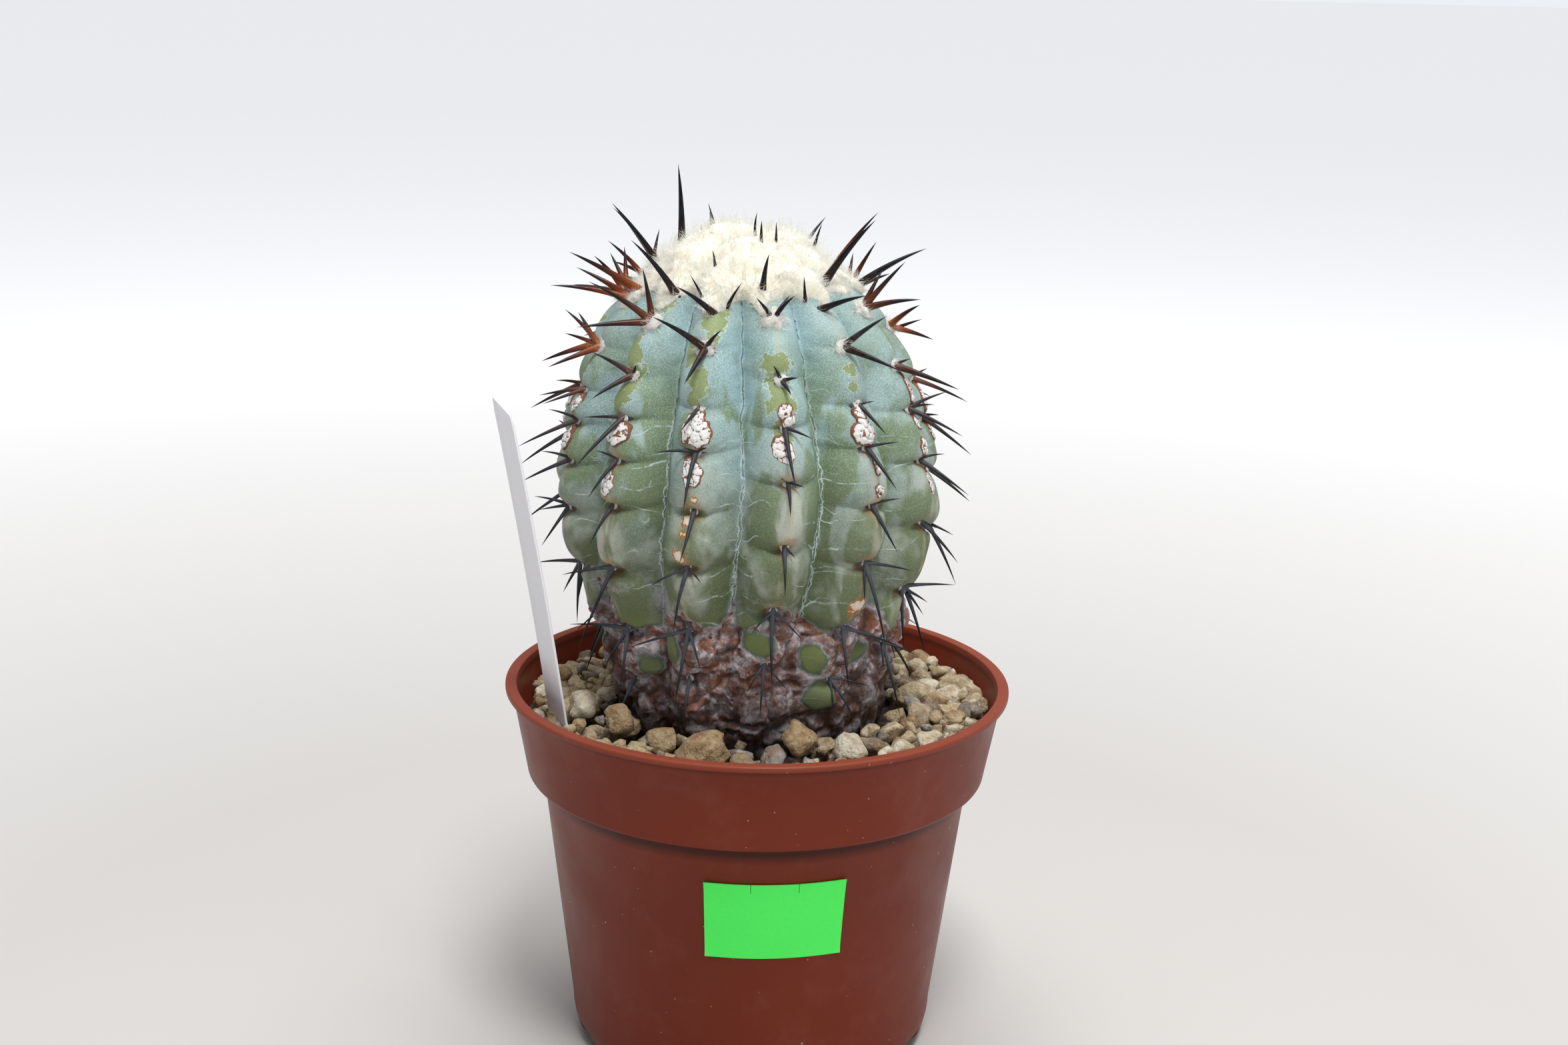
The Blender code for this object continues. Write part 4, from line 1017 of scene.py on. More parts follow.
    # Coats from the first to the last
    for share, colour in ((pale, "#C0C0AF"), (bloom, blue), (rub, green), (frost, frosted),
                          (pitted, "#5C7064"), (edge, "#B3A585"), (painted_fold_shade, "#4E5A3F"),
                          (rimmed, "#C9D8D2"), (bare, leaf), (crackle, "#C5D6D7"), (slit, "#2F4B56"),
                          (stain, "#A07848"), (scarred, scar_colour), (bare_green, mossy),
                          (fringe, "#A9A4A8"), (corked, cork_colour), (foot, "#1F1917")):
        skin = node("mix", share, skin, colour)
    wet = node("range", mid, 0.35, 0.65, 0.2, 0.52)
    dry = node("ShaderNodeMix", {0: corked, 2: 0.58, 3: wet}, output=0, data_type="FLOAT")
    rise = node("multiply", node("multiply", film, corked), 2.4)
    rise = node("subtract", node("add", rise, crackle), bare)
    rise = node("subtract", node("add", grain, rise), slit)
    return {"Base Color": skin, "Roughness": dry, "Normal": node("bump", 0.5, 0.00025, rise),
            "Subsurface Weight": 0.1, "Subsurface Scale": 0.0015, "Specular IOR Level": 0.35}


def stem_spines():
    """Every spine of the stem as root, reach, radius, age and backlit amber, in metres."""
    draw = random.Random(11)
    result = []
    for rib in range(RIBS):
        for number, height in enumerate(rib_heights(rib)):
            if height > UNDER_WOOL:
                continue
            root, side, up, out = areole(rib, height)
            reaches = FRONT_SPINES.get((rib, number), SPINES_BY_AGE[number])
            spread = 0 if (rib, number) in FRONT_SPINES else SPINE_SPREAD
            radius = SPINE_RADIUS[number >= YOUNG_AREOLES] * MM
            slimmed = 1 - OLD_SPINE_SLIMNESS * float(read(SPINE_AGE, height))
            for reach in reaches:
                parts = [part * (1 + draw.uniform(-spread, spread))
                         + draw.uniform(-1, 1) * spread * SPREAD_MM for part in reach]
                vector = (side * parts[0] + up * parts[1] + out * parts[2]) * MM
                vector.z = max(vector.z, RIM + LOWEST_TIP * MM - root.z)
                slim = min(1, SPINE_SLIMNESS[0] + vector.length / MM / SPINE_SLIMNESS[1])
                age = float(read(SPINE_AGE, height))
                # Partly painted light: spines towards the sides and back are more amber, as if lit from
                # behind
                backlit_amber = float(read(SPINE_BACKLIT_AMBER, min(rib - 1, RIBS + 1 - rib) if rib else 1))
                backlit_amber *= float(read(BACKLIT_AMBER_FADE, height))
                result.append((root, vector, radius * slim * slimmed, age, backlit_amber))
    return result


def crown_spines():
    """The spines that stand in the wool; those at the back are front ones turned on."""
    middle = Vector((lean(WOOL_LEVEL), 0, 0))
    turn = Matrix.Rotation(math.tau * BACK_TURN / RIBS, 3, "Z")
    lift = Vector((0, 0, RIM))
    result = [(Vector(root) * MM + lift, Vector(reach) * MM, radius * MM, 0.0, 0.0)
              for root, reach, radius in CROWN_SPINES]
    for number in BACK_CROWN_SPINES:
        root, reach, radius = CROWN_SPINES[number]
        turned_root = turn @ (Vector(root) - middle) + middle
        result.append((turned_root * MM + lift, turn @ Vector(reach) * MM, radius * MM,
                       0.0, BACK_BACKLIT_AMBER))
    return result


def spine_lines(name, spines, fullness):
    """The spines' middle lines as loose edges, with their thickness, age and backlit amber."""
    draw = random.Random(29)
    vertices = []
    edges = []
    values = {"thickness": [], "along": [], "age": [], "backlit_amber": []}
    level, bulb, fade = SPINE_BULB
    for root, reach, radius, age, backlit_amber in spines:
        along = reach.normalized()
        across = along.cross(Vector((0, 0, 1))).normalized()
        over = across.cross(along)
        bow = SPINE_BOW * draw.uniform(*BOW_DRAW) * (1 if reach.z > 0 else HANGING_BOW)
        stray = draw.uniform(-SPINE_STRAY, SPINE_STRAY)
        for point in range(SPINE_POINTS):
            share = (point / (SPINE_POINTS - 1)) ** SPINE_CROWDING
            arch = 4 * share * (1 - share) * reach.length
            spot = root + reach * share + over * bow * arch + across * stray * arch
            if point == 0:
                spot -= along * SPINE_ROOT * MM
            else:
                edges.append((len(vertices) - 1, len(vertices)))
            vertices.append(spot)
            swell = level + bulb * math.exp(-share * fade)
            taper = (1 - share) ** SPINE_TAPER * swell
            values["thickness"].append(max(radius * fullness * taper, THINNEST_TIP))
            values["along"].append(share)
            values["age"].append(age)
            values["backlit_amber"].append(backlit_amber * draw.uniform(0.9, 1.1))
    mesh = bpy.data.meshes.new(name)
    mesh.from_pydata(vertices, edges, [])
    for label, numbers in values.items():
        store(mesh, label, numbers)
    return mesh


def spine_tree():
    """A tapered spine along each line, as thick as the line's points say."""
    node, given = growth_tree("spines_on_lines", {"Sides": ("Int", 8)})
    curves = node("GeometryNodeMeshToCurve", {0: given["Geometry"]})
    thickness = node("stored", "thickness")
    curves = node("GeometryNodeSetCurveRadius", {"Curve": curves, "Radius": thickness})
    ring = node("GeometryNodeCurvePrimitiveCircle", {"Resolution": given["Sides"], "Radius": 1.0})
    spines = node("GeometryNodeCurveToMesh", {"Curve": curves, "Profile Curve": ring,
                                              "Scale": thickness, "Fill Caps": True})
    return end_tree(node, spines, given)


def spine_look(node, place):
    """Horny spines: glossy black with a mahogany foot when young, matt blue-grey when old, and a
    backlit amber that is partly their own colour and partly painted light shining through them.
    """
    along = node("attribute", attribute_name="along")
    age = node("attribute", attribute_name="age")
    backlit_amber = node("attribute", attribute_name="backlit_amber")
    cool = node("ramp", along, stops=((0.0, "#3C1912"), (0.15, "#20100D"), (0.4, "#0F0B0C"),
                                      (0.8, "#0C0D14"), (1.0, "#1D2238")))
    # Painted light: the amber of a spine lit from behind, partly the young spine's own colour
    lit = node("ramp", along, stops=((0.0, "#B4642A"), (0.3, "#883E18"), (0.58, "#3E1A0F"),
                                     (0.82, "#110D10"), (1.0, "#1E2133")))
    fresh = node("mix", backlit_amber, cool, lit)
    grey = node("ramp", along, stops=((0.0, "#5C6068"), (0.35, "#42464E"), (0.62, "#2A2C31"),
                                      (0.8, "#141417"), (1.0, "#29251F")))
    mottle = node("noise", place, 900.0, 3.0)
    aged = node("add", age, node("range", mottle, 0.3, 0.7, -0.2, 0.2), use_clamp=True)
    colour = node("mix", aged, fresh, grey)
    rough = node("range", aged, 0.0, 1.0, 0.3, 0.62)
    return {"Base Color": colour, "Roughness": rough, "Normal": node("bump", 0.25, 0.0001, mottle),
            "Specular IOR Level": 0.22}


def wool_pad():
    """The crown's wool as a puffy dome with a lobe on every crest, its skirt in the stem."""
    middle = lean(WOOL_LEVEL)
    inner, outer = WOOL_EDGE
    points = np.zeros((WOOL_RINGS + 1, WOOL_COLUMNS, 3))
    for ring in range(WOOL_RINGS, 0, -1):
        share = ring / WOOL_RINGS
        for column in range(WOOL_COLUMNS):
            place = column * RIBS / WOOL_COLUMNS
            crest = 0.5 + 0.5 * math.cos(2 * math.pi * place)
            angle = float(rib_angle(place, WOOL_LEVEL))
            radius = share * (inner + (outer - inner) * crest - float(read(WOOL_RETREAT, place)))
            height = float(read(WOOL_DOME, radius))
            spot = Vector((math.sin(angle) * radius, -math.cos(angle) * radius, height))
            swell = sum(size * noise.noise(spot / grain) for grain, size in WOOL_PUFFS)
            for x, y, half, tall in WOOL_TUFTS:
                away = (middle + spot.x - x) ** 2 + (spot.y - y) ** 2
                swell += tall * math.exp(-away / half ** 2)
            radius += swell * share
            height += swell * (1 - share / 2)
            points[WOOL_RINGS - ring + 1, column] = (middle + radius * math.sin(angle),
                                                     -radius * math.cos(angle), height)
    points[0] = points[1]
    points[0, :, :2] = (middle, 0) + (points[1, :, :2] - (middle, 0)) * WOOL_SKIRT
    points[0, :, 2] = WOOL_FOOT
    points = points * MM + (0, 0, RIM)
    top = (middle * MM, 0, points[-1, :, 2].mean())
    mesh = grid_mesh("crown_wool", points, (middle * MM, 0, RIM + WOOL_FOOT * MM), top)
    for label, hem in (("fuzz", WOOL_HEM_FUZZ), ("thick", WOOL_HEM_THICKNESS)):
        values = np.ones(points.shape[:2])
        values[:WOOL_HEM] = np.linspace(hem, 1, WOOL_HEM)[:, None]
        values[0] = 0
        store(mesh, label, np.concatenate(([0], np.ravel(values), [1])))
    return mesh


def felt_pads():
    """A pad of felt on every shown areole, with the length of its fibres."""
    bm = bmesh.new()
    fuzz = []
    thick = []
    draw = random.Random(17)
    for rib, _, height in shown_areoles():
        root, side, up, out = areole(rib, height)
        size = read(PAD_SIZE, height) * MM
        fineness = 3 if height > PAD_FINE else 2
        depth = read(PAD_DEPTH, height)
        ball = bmesh.ops.create_icosphere(bm, subdivisions=fineness, radius=1)["verts"]
        seed = Vector((rib, height, 0))
        for vertex in ball:
            spot = vertex.co * lumpy(vertex.co, PAD_LUMPS, seed, 0.9)
            vertex.co = root + side * spot.x * size + up * spot.y * size * PAD_TALL \
                + out * (spot.z * depth - PAD_SINK) * size
        fuzz += [read(PAD_FUZZ, height) * draw.uniform(0.8, 1.2)] * len(ball)
        thick += [read(PAD_THICKNESS, height)] * len(ball)
    mesh = finished(bm, "areole_felt")
    store(mesh, "fuzz", fuzz)
    store(mesh, "thick", thick)
    return mesh


def fibre_tree():
    """Fibres on a surface that lean together in locks and curl towards their tips."""
    node, given = growth_tree("wool_fibres", {
        "Density": ("Float", 3e6), "Length": ("Float", 0.004), "Thickness": ("Float", 0.0001),
        "Curl": ("Float", 0.0015), "Lock size": ("Float", 0.0022), "Splay": ("Float", 1.0),
        "Joints": ("Int", 3), "Ground": ("Bool", True), "Seed": ("Int", 7)})
    fuzz = node("stored", "fuzz")
    density = node("multiply", given["Density"], node("stored", "thick"))
    roots = node("GeometryNodeDistributePointsOnFaces", {"Mesh": given["Geometry"], "Density": density,
                                                         "Seed": given["Seed"]})
    place = node("GeometryNodeInputPosition")
    locks = node("colour_noise", place, node("divide", 1.0, given["Lock size"]), 1.0)
    locks = node("vector_subtract", locks, (0.5, 0.5, 0.5))
    loose = node("FunctionNodeRandomValue", {0: (-0.3,) * 3, 1: (0.3,) * 3, "Seed": given["Seed"]},
                 data_type="FLOAT_VECTOR")
    stray = node("vector_add", locks, loose)
    stray = node("vector_scale", stray, node("multiply", given["Splay"], 4.0))
    way = node("vector_add", roots.node.outputs["Normal"], stray)
    turn = node("FunctionNodeAlignRotationToVector", {"Vector": way}, axis="Z")
    size = node("FunctionNodeRandomValue", {2: 0.55, 3: 1.15, "Seed": given["Seed"]}, output=1,
                data_type="FLOAT")
    size = node("multiply", node("multiply", size, given["Length"]), fuzz)
    line = node("GeometryNodeCurvePrimitiveLine", {"Start": (0, 0, -0.15), "End": (0, 0, 1)})
    line = node("GeometryNodeResampleCurve", {"Curve": line, "Count": given["Joints"]})
    fibres = node("GeometryNodeInstanceOnPoints", {"Points": roots, "Instance": line,
                                                   "Rotation": turn, "Scale": size})
    fibres = node("GeometryNodeRealizeInstances", {0: fibres})
    share = node("GeometryNodeSplineParameter")
    wave = node("vector_subtract", node("colour_noise", place, 620.0, 2.0), (0.5, 0.5, 0.5))
    bend = node("multiply", node("multiply", share, given["Curl"]), 4.0)
    wave = node("vector_scale", wave, node("multiply", bend, share))
    fibres = node("GeometryNodeSetPosition", {"Geometry": fibres, "Offset": wave})
    thin = node("multiply", node("range", share, 0.0, 1.0, 1.0, 0.25), given["Thickness"])
    ring = node("GeometryNodeCurvePrimitiveCircle", {"Resolution": 3, "Radius": 1.0})
    fibres = node("GeometryNodeCurveToMesh", {"Curve": fibres, "Profile Curve": ring, "Scale": thin,
                                              "Fill Caps": True})
    fibres = node("GeometryNodeStoreNamedAttribute", {"Geometry": fibres, "Name": "strand",
                                                      "Value": 1.0})
    together = node("join", given["Geometry"], fibres)
    shown = node("GeometryNodeSwitch", {"Switch": given["Ground"], "False": fibres, "True": together},
                 input_type="GEOMETRY")
    return end_tree(node, shown, given)


def wool_look(node, place, light, shade, relief):
    """Felted plant wool: matt fibres that scatter the light, over painted shade inside: the ground pad
    takes a warmer, darker colour.
    """
    strand = node("attribute", attribute_name="strand")
    tufts = node("range", node("noise", place, 330.0, 5.0, 0.7), 0.36, 0.58)
    # Painted shade: where the tufts noise is low, the ground pad under the fibres takes the shade
    # colour
    colour = node("mix", node("maximum", tufts, strand), shade, light)
    strands = node("noise", place, 700.0, 5.0, 0.6)
    return {"Base Color": colour, "Roughness": 0.9, "Normal": node("bump", relief, 0.0005, strands),
            "Subsurface Weight": 0.6, "Subsurface Radius": (1, 1, 1), "Subsurface Scale": 0.003,
            "Specular IOR Level": 0.1}


def crust_patch(crust, draw):
    """One crust as a closed cushion of broken plates, with how chalky each point is."""
    rib, number, side_offset, up_offset, half_width, half_height = crust
    seed = Vector((draw.uniform(0, 50), draw.uniform(0, 50), draw.uniform(0, 50)))
    points = np.zeros((CRUST_RINGS + 1, CRUST_COLUMNS, 3))
    chalk = np.zeros((CRUST_RINGS + 1, CRUST_COLUMNS))
    middle = rib_heights(rib)[number] + up_offset
    for ring in range(CRUST_RINGS + 1):
        share = 1 - max(0, ring - 1) / CRUST_RINGS
        for column in range(CRUST_COLUMNS):
            turn = math.tau * column / CRUST_COLUMNS
            way = Vector((math.sin(turn), math.cos(turn), 0))
            reach = lumpy(way, CRUST_RAGGED, seed, 1.04)
            across = way.x * share * reach * half_width
            along = way.y * share * reach * half_height
            spot = Vector((across, along, 0)) / CRUST_PLATE + seed
            (near, second, *_), (plate, *_) = noise.voronoi(spot)
            gap = min(1, (second - near) * PLATE_STEEPNESS)
            lift = PLATE_HEIGHT[0] + PLATE_HEIGHT[1] * abs(noise.noise(plate * 7.7))
            dome = max(0, 1 - share ** 2) ** CRUST_FULLNESS
            height = CRUST_LIFT * dome * (CRUST_BED + (1 - CRUST_BED) * lift * gap)
            height += CRUST_BUMPS * noise.noise(spot * 4) * dome
            chalk[ring, column] = min(gap * 1.6 - 0.1, (CHALK_RIM - share) * 9)
            points[ring, column] = skin_point(rib, side_offset + across, middle + along,
                                              height if ring else -CRUST_ROOT)
    ends = [skin_point(rib, side_offset, middle, out) for out in (-CRUST_ROOT, CRUST_LIFT * 0.7)]
    return grid_mesh("crust", points, ends[0], ends[1]), [0, *np.ravel(chalk), 1]


def crust_mesh():
    """Chalky crusts on the crests: white plates that have broken over a brown scab."""
    bm = bmesh.new()
    chalk = []
    draw = random.Random(41)
    for crust in CRUSTS:
        patch, share = crust_patch(crust, draw)
        bm.from_mesh(patch)
        chalk += share
        bpy.data.meshes.remove(patch)
    bmesh.ops.recalc_face_normals(bm, faces=bm.faces)
    mesh = finished(bm, "areole_crusts")
    store(mesh, "chalk", chalk)
    return mesh


def crust_look(node, place):
    """Dried chalky crust, white flakes over a red-brown scab."""
    white = node("attribute", attribute_name="chalk")
    plates = node("noise", place, 900.0, 5.0, 0.7, 1.0)
    fine = node("noise", place, 2200.0, 2.0)
    worn = node("add", node("range", plates, 0.3, 0.7, -0.7, 0.7), white)
    worn = node("range", worn, 0.26, 0.4)
    chalk = node("mix", fine, "#D5D3CF", "#F7F6F3")
    colour = node("mix", worn, node("mix", fine, "#5A2A1C", "#9C6A4C"), chalk)
    return {"Base Color": colour, "Roughness": 0.85, "Normal": node("bump", 0.8, 0.0004, plates)}


def turned(name, outline, segments):
    """Spin an outline of (radius, height) pairs in mm, which starts and ends on the axis."""
    turns = [math.tau * index / segments for index in range(segments)]
    points = np.array([[(radius * math.sin(turn), -radius * math.cos(turn), height) for turn in turns]
                       for radius, height in outline[1:-1]]) * MM
    return grid_mesh(name, points, (0, 0, outline[0][1] * MM), (0, 0, outline[-1][1] * MM))


def round_edge(radius, height, out, up, steps):
    """Outline points of a rounded lower edge, from level round to upright."""
    turns = [math.pi / 2 * step / steps for step in range(steps + 1)]
    return [(radius + out * math.sin(turn), height + up * (1 - math.cos(turn))) for turn in turns]


def pot_outline():
    """The pot's outline from the middle of its underside, round the lip and down inside."""
    rim = RIM / MM
    step = rim - COLLAR_HEIGHT
    under_lip = rim - LIP_THICKNESS
    lip = [(LIP_RADIUS - LIP_ROUND + LIP_ROUND * math.cos(turn),
            rim - LIP_ROUND + LIP_ROUND * math.sin(turn)) for turn in np.linspace(0, math.pi / 2, 6)]
    brim = [(LIP_RADIUS - LIP_WIDTH - BRIM_ROUND * math.cos(turn),
             rim - BRIM_ROUND + BRIM_ROUND * math.sin(turn)) for turn in np.linspace(math.pi / 2, 0, 4)]
    outside = [*round_edge(FOOT_RADIUS, 0, WALL_FOOT_RADIUS - FOOT_RADIUS, FOOT_ROUND, 12),
               (WALL_TOP_RADIUS - 0.1, step - 0.6), (WALL_TOP_RADIUS + 0.5, step),
               *round_edge(COLLAR_FOOT_RADIUS - COLLAR_ROUND, step, COLLAR_ROUND, COLLAR_ROUND, 7),
               (COLLAR_TOP_RADIUS - 0.05, under_lip - 0.5), (COLLAR_TOP_RADIUS + 0.25, under_lip),
               *round_edge(LIP_RADIUS - LIP_ROUND, under_lip, LIP_ROUND, LIP_ROUND, 4), *lip]
    inner = COLLAR_TOP_RADIUS - WALL
    inside = [*brim, (inner, rim - LIP_THICKNESS - 0.8), (COLLAR_FOOT_RADIUS - WALL, step + WALL + 0.8),
              (COLLAR_FOOT_RADIUS - WALL - 0.8, step + WALL),
              (WALL_TOP_RADIUS - WALL + 0.6, step + WALL), (WALL_TOP_RADIUS - WALL, step + WALL - 0.6)]
    foot = round_edge(FOOT_RADIUS - WALL, FLOOR, WALL_FOOT_RADIUS - FOOT_RADIUS, FOOT_ROUND - FLOOR, 6)
    return [(0, 0), *outside, *inside, *reversed(foot), (0, FLOOR)]


def pot_body(settings):
    """The turned pot with its drain slots cut through the foot's rounded edge."""
    pot = new_object("pot_body", turned("pot_body", pot_outline(), settings.segments))
    bm = bmesh.new()
    width, depth, height = (size * MM for size in DRAIN_SIZE)
    for index in range(DRAIN_SLOTS):
        cube = bmesh.ops.create_cube(bm, size=1)["verts"]
        turn = Matrix.Rotation(math.radians(DRAIN_TURN) + math.tau * index / DRAIN_SLOTS, 4, "Z")
        place = Matrix.Translation((0, -FOOT_RADIUS * MM - depth / 4, 0))
        scale = Matrix.Diagonal((width, 2 * depth, 2 * height, 1))
        bmesh.ops.transform(bm, matrix=turn @ place @ scale, verts=cube)
    slots = new_object("slots", finished(bm, "slots"))
    cut = pot.modifiers.new("drain_slots", "BOOLEAN")
    cut.operation = "DIFFERENCE"
    cut.solver = "EXACT"
    cut.object = slots
    settle(pot)
    bpy.data.objects.remove(slots, do_unlink=True)
    pot.data.shade_smooth()
    pot.data.set_sharp_from_angle(angle=math.radians(SHARP_ANGLE))
    return pot


def plastic_look(node, place, colour):
    """Injection-moulded polypropylene: satin, with dust, a painted highlight along the lip and painted
    shade in its recesses.
    """
    level = node("separate", place, output="Z")
    base = linear(colour)
    dark = (*(channel * 0.78 for channel in base[:3]), 1)
    body = node("mix", node("noise", place, 28.0, 4.0), dark, base)
    # Watering leaves a paler film of lime here and there
    film = node("range", node("noise", place, 60.0, 6.0, 0.7), 0.5, 0.8, 0.0, 0.1)
    body = node("mix", film, body, "#B98C7E")
    # Dust grains of a third of a millimetre
    dust = node("ShaderNodeTexVoronoi", {"Vector": place, "Scale": 420.0, "Randomness": 1.0})
    few = node("range", node("noise", place, 130.0, 2.0), 0.5, 0.75, 0.02, 0.13)
    dust = node("multiply", node("less_than", dust, few), 0.55)
    body = node("mix", dust, body, "#D8BFB4")
    # Painted highlight: a paler band along the top of the lip
    body = node("mix", node("range", level, RIM - 0.0025, RIM, 0.0, 0.3), body, "#A95C46")
    # Painted shade: dark bands in the two recesses, under the lip and under the collar
    painted_recess_shade = node("range", level, RIM - PAINTED_SHADE_DEPTH, RIM)
    painted_recess_shade = node("ramp", painted_recess_shade, stops=((0.11, "#000000"), (0.19, "#F2F2F2"), (0.265, "#F2F2F2"),
                                         (0.272, "#000000"), (0.9, "#000000"), (0.93, "#BBBBBB"),
                                         (0.948, "#BBBBBB"), (0.955, "#000000")))
    body = node("mix", painted_recess_shade, body, "#38150D")
    rough = node("range", node("noise", place, 70.0, 4.0), 0.35, 0.7, 0.36, 0.48)
    fine = node("noise", place, 900.0, 3.0)
    return {"Base Color": body, "Roughness": rough, "Normal": node("bump", 0.1, 0.0001, fine),
            "Specular IOR Level": 0.16}


def stone_shape(name, draw, faces):
    """One rounded stone with a few flats, of radius one."""
    bm = bmesh.new()
    bmesh.ops.create_icosphere(bm, subdivisions=faces, radius=1)
    flats = [(Vector(way), reach) for way, reach in BLOCK_FLATS] if name == "stone_00" else []
    while len(flats) < STONE_FLATS:
        way = Vector([draw.gauss(0, 1) for _ in range(3)]).normalized()
        flats.append((way, draw.uniform(*FLAT_REACH)))
    shift = Vector([draw.uniform(0, 50) for _ in range(3)])
    for vertex in bm.verts:
        for way, reach in flats:
            over = vertex.co.dot(way) - reach
            if over > 0:
                vertex.co -= way * over * FLATTENING
        vertex.co *= STONE_SIZE + lumpy(vertex.co, STONE_LUMPS, shift)
        vertex.co.y *= STONE_DEPTH
        vertex.co.z *= STONE_HEIGHT
    return new_object(name, finished(bm, name))


def drop_stones(settings):
    """Places of stones that were dropped between the stem and the pot, each on those below."""
    draw = random.Random(settings.seed)
    stones = [(Vector(place), size, index and 1 + index % 4)
              for index, (place, size, _) in enumerate(SEEN_STONES)]
    inner, outer = STONE_RING
    smallest = settings.smallest / MM
    largest = settings.largest / MM
    middle = Vector((lean(STONE_FLOOR), 0))
    for index in range(settings.stones):
        share = index / settings.stones
        size = smallest + (largest - smallest) * (1 - share) ** SIZE_FALL * draw.uniform(*SIZE_DRAW)
        for _ in range(DROP_TRIES):
            turn = draw.uniform(0, math.tau)
            away = math.sqrt(draw.uniform((inner + size * STEM_ROOM) ** 2,
                                          (outer - size * WALL_ROOM) ** 2))
            x, y = away * math.sin(turn), -away * math.cos(turn)
            if (Vector((x, y)) - middle).length < inner + size * LEAN_ROOM:
                continue
            level = STONE_FLOOR + size * FLOOR_ROOM
            for other, other_size, _ in stones:
                flat = (Vector((x, y)) - other.xy).length
                touch = (size + other_size) * STONE_TOUCH
                if flat < touch:
                    level = max(level, other.z + math.sqrt(touch ** 2 - flat ** 2) * STONE_REST)
            if level + size * STONE_REST < STONE_CEILING:
                large_kinds = STONE_KINDS - SMALL_KINDS
                kind = draw.randrange(large_kinds, STONE_KINDS) if size < SMALL_STONE \
                    else draw.randrange(large_kinds)
                stones.append((Vector((x, y, level)), size, kind))
                break
    return stones


def stone_tree():
    """Stones on points, each of the kind, size and turn that its point says."""
    node, given = growth_tree("stones_on_points", {"Stones": ("Collection", None)})
    shapes = node("GeometryNodeCollectionInfo", {"Collection": given["Stones"],
                                                 "Separate Children": True, "Reset Children": True})
    kind = node("stored", "kind", data_type="INT")
    size = node("stored", "size", data_type="FLOAT_VECTOR")
    turn = node("stored", "turn", data_type="FLOAT_VECTOR")
    turn = node("FunctionNodeEulerToRotation", {0: turn})
    points = node("GeometryNodeMeshToPoints", {"Mesh": given["Geometry"]})
    stones = node("GeometryNodeInstanceOnPoints", {"Points": points, "Instance": shapes,
                                                   "Pick Instance": True, "Instance Index": kind,
                                                   "Rotation": turn, "Scale": size})
    return end_tree(node, stones, given)


def stone_points(stones, draw):
    """The stones' places as loose vertices with their kind, size, turn and tone."""
    mesh = bpy.data.meshes.new("gravel_stones")
    mesh.from_pydata([place * MM + Vector((0, 0, RIM)) for place, _, _ in stones], [], [])
    kinds = mesh.attributes.new("kind", "INT", "POINT")
    sizes = mesh.attributes.new("size", "FLOAT_VECTOR", "POINT")
    turns = mesh.attributes.new("turn", "FLOAT_VECTOR", "POINT")
    tones = []
    for index, (_, size, kind) in enumerate(stones):
        kinds.data[index].value = kind
        shape = Vector((1, draw.uniform(*BREADTH_DRAW), draw.uniform(*HEIGHT_DRAW)))
        sizes.data[index].vector = shape * size * MM
        turns.data[index].vector = (draw.uniform(-STONE_TILT, STONE_TILT),
                                    draw.uniform(-STONE_TILT, STONE_TILT),
                                    draw.uniform(0, math.tau) if index else BLOCK_TURN)
        tones.append(draw.random())
    tones[:len(SEEN_STONES)] = [tone for _, _, tone in SEEN_STONES]
    store(mesh, "tone", tones)
    return mesh


def stone_look(node, place):
    """River gravel, cream to brown, matt and dusty."""
    tone = node("attribute", attribute_name="tone")
    kind = node("ramp", tone, stops=((0.0, "#C9B998"), (0.18, "#AE9B7A"), (0.34, "#D9CFB9"),
                                     (0.5, "#9C8868"), (0.62, "#A48A66"), (0.74, "#BCAA8A"),
                                     (0.86, "#7B6D5F"), (0.93, "#A39F99"), (1.0, "#6A5541")))
    mottle = node("noise", place, 420.0, 6.0, 0.75)
    shade = node("range", mottle, 0.32, 0.68, 0.05, 0.92)
    colour = node("mix", 0.9, kind, shade, blend_type="SOFT_LIGHT")
    rust = node("range", node("noise", place, 190.0, 5.0, 0.65), 0.52, 0.64, 0.0, 0.6)
    colour = node("mix", rust, colour, "#8C6440")
    rise = node("add", mottle, node("noise", place, 1500.0, 3.0))
    return {"Base Color": colour, "Roughness": 0.85, "Normal": node("bump", 0.9, 0.0006, rise)}


def soil_look(node, place):
    """Dark potting mix, crumbly and quite matt."""
    crumbs = node("noise", place, 500.0, 5.0, 0.75)
    colour = node("ramp", crumbs, stops=((0.35, "#1E1713"), (0.5, "#3A2E26"), (0.62, "#574739"),
                                         (0.75, "#8A765C")))
    return {"Base Color": colour, "Roughness": 0.95, "Normal": node("bump", 0.9, 0.001, crumbs)}


def grit_bed():
    """Dark grit that fills the gaps between the stones, uneven on top."""
    outer = STONE_RING[1] - GRIT_MARGIN
    turns = np.linspace(0, math.tau, GRIT_COLUMNS, endpoint=False)
    foot = GRIT_LEVEL - GRIT_DEPTH
    rows = [[(outer * math.sin(turn) * GRIT_TAPER, -outer * math.cos(turn) * GRIT_TAPER, foot)
             for turn in turns]]
    for radius in np.linspace(outer, GRIT_INNER, GRIT_RINGS):
        row = []
        for turn in turns:
            x, y = radius * math.sin(turn), -radius * math.cos(turn)
            bump = sum(noise.noise(Vector((x, y, seed)) / grain) * size
                       for grain, size, seed in GRIT_WAVES)
            row.append((x, y, GRIT_LEVEL + bump))
        rows.append(row)
    points = np.array(rows) * MM + (0, 0, RIM)
    return grid_mesh("gravel_grit", points, (0, 0, RIM + foot * MM), (0, 0, RIM + GRIT_LEVEL * MM))


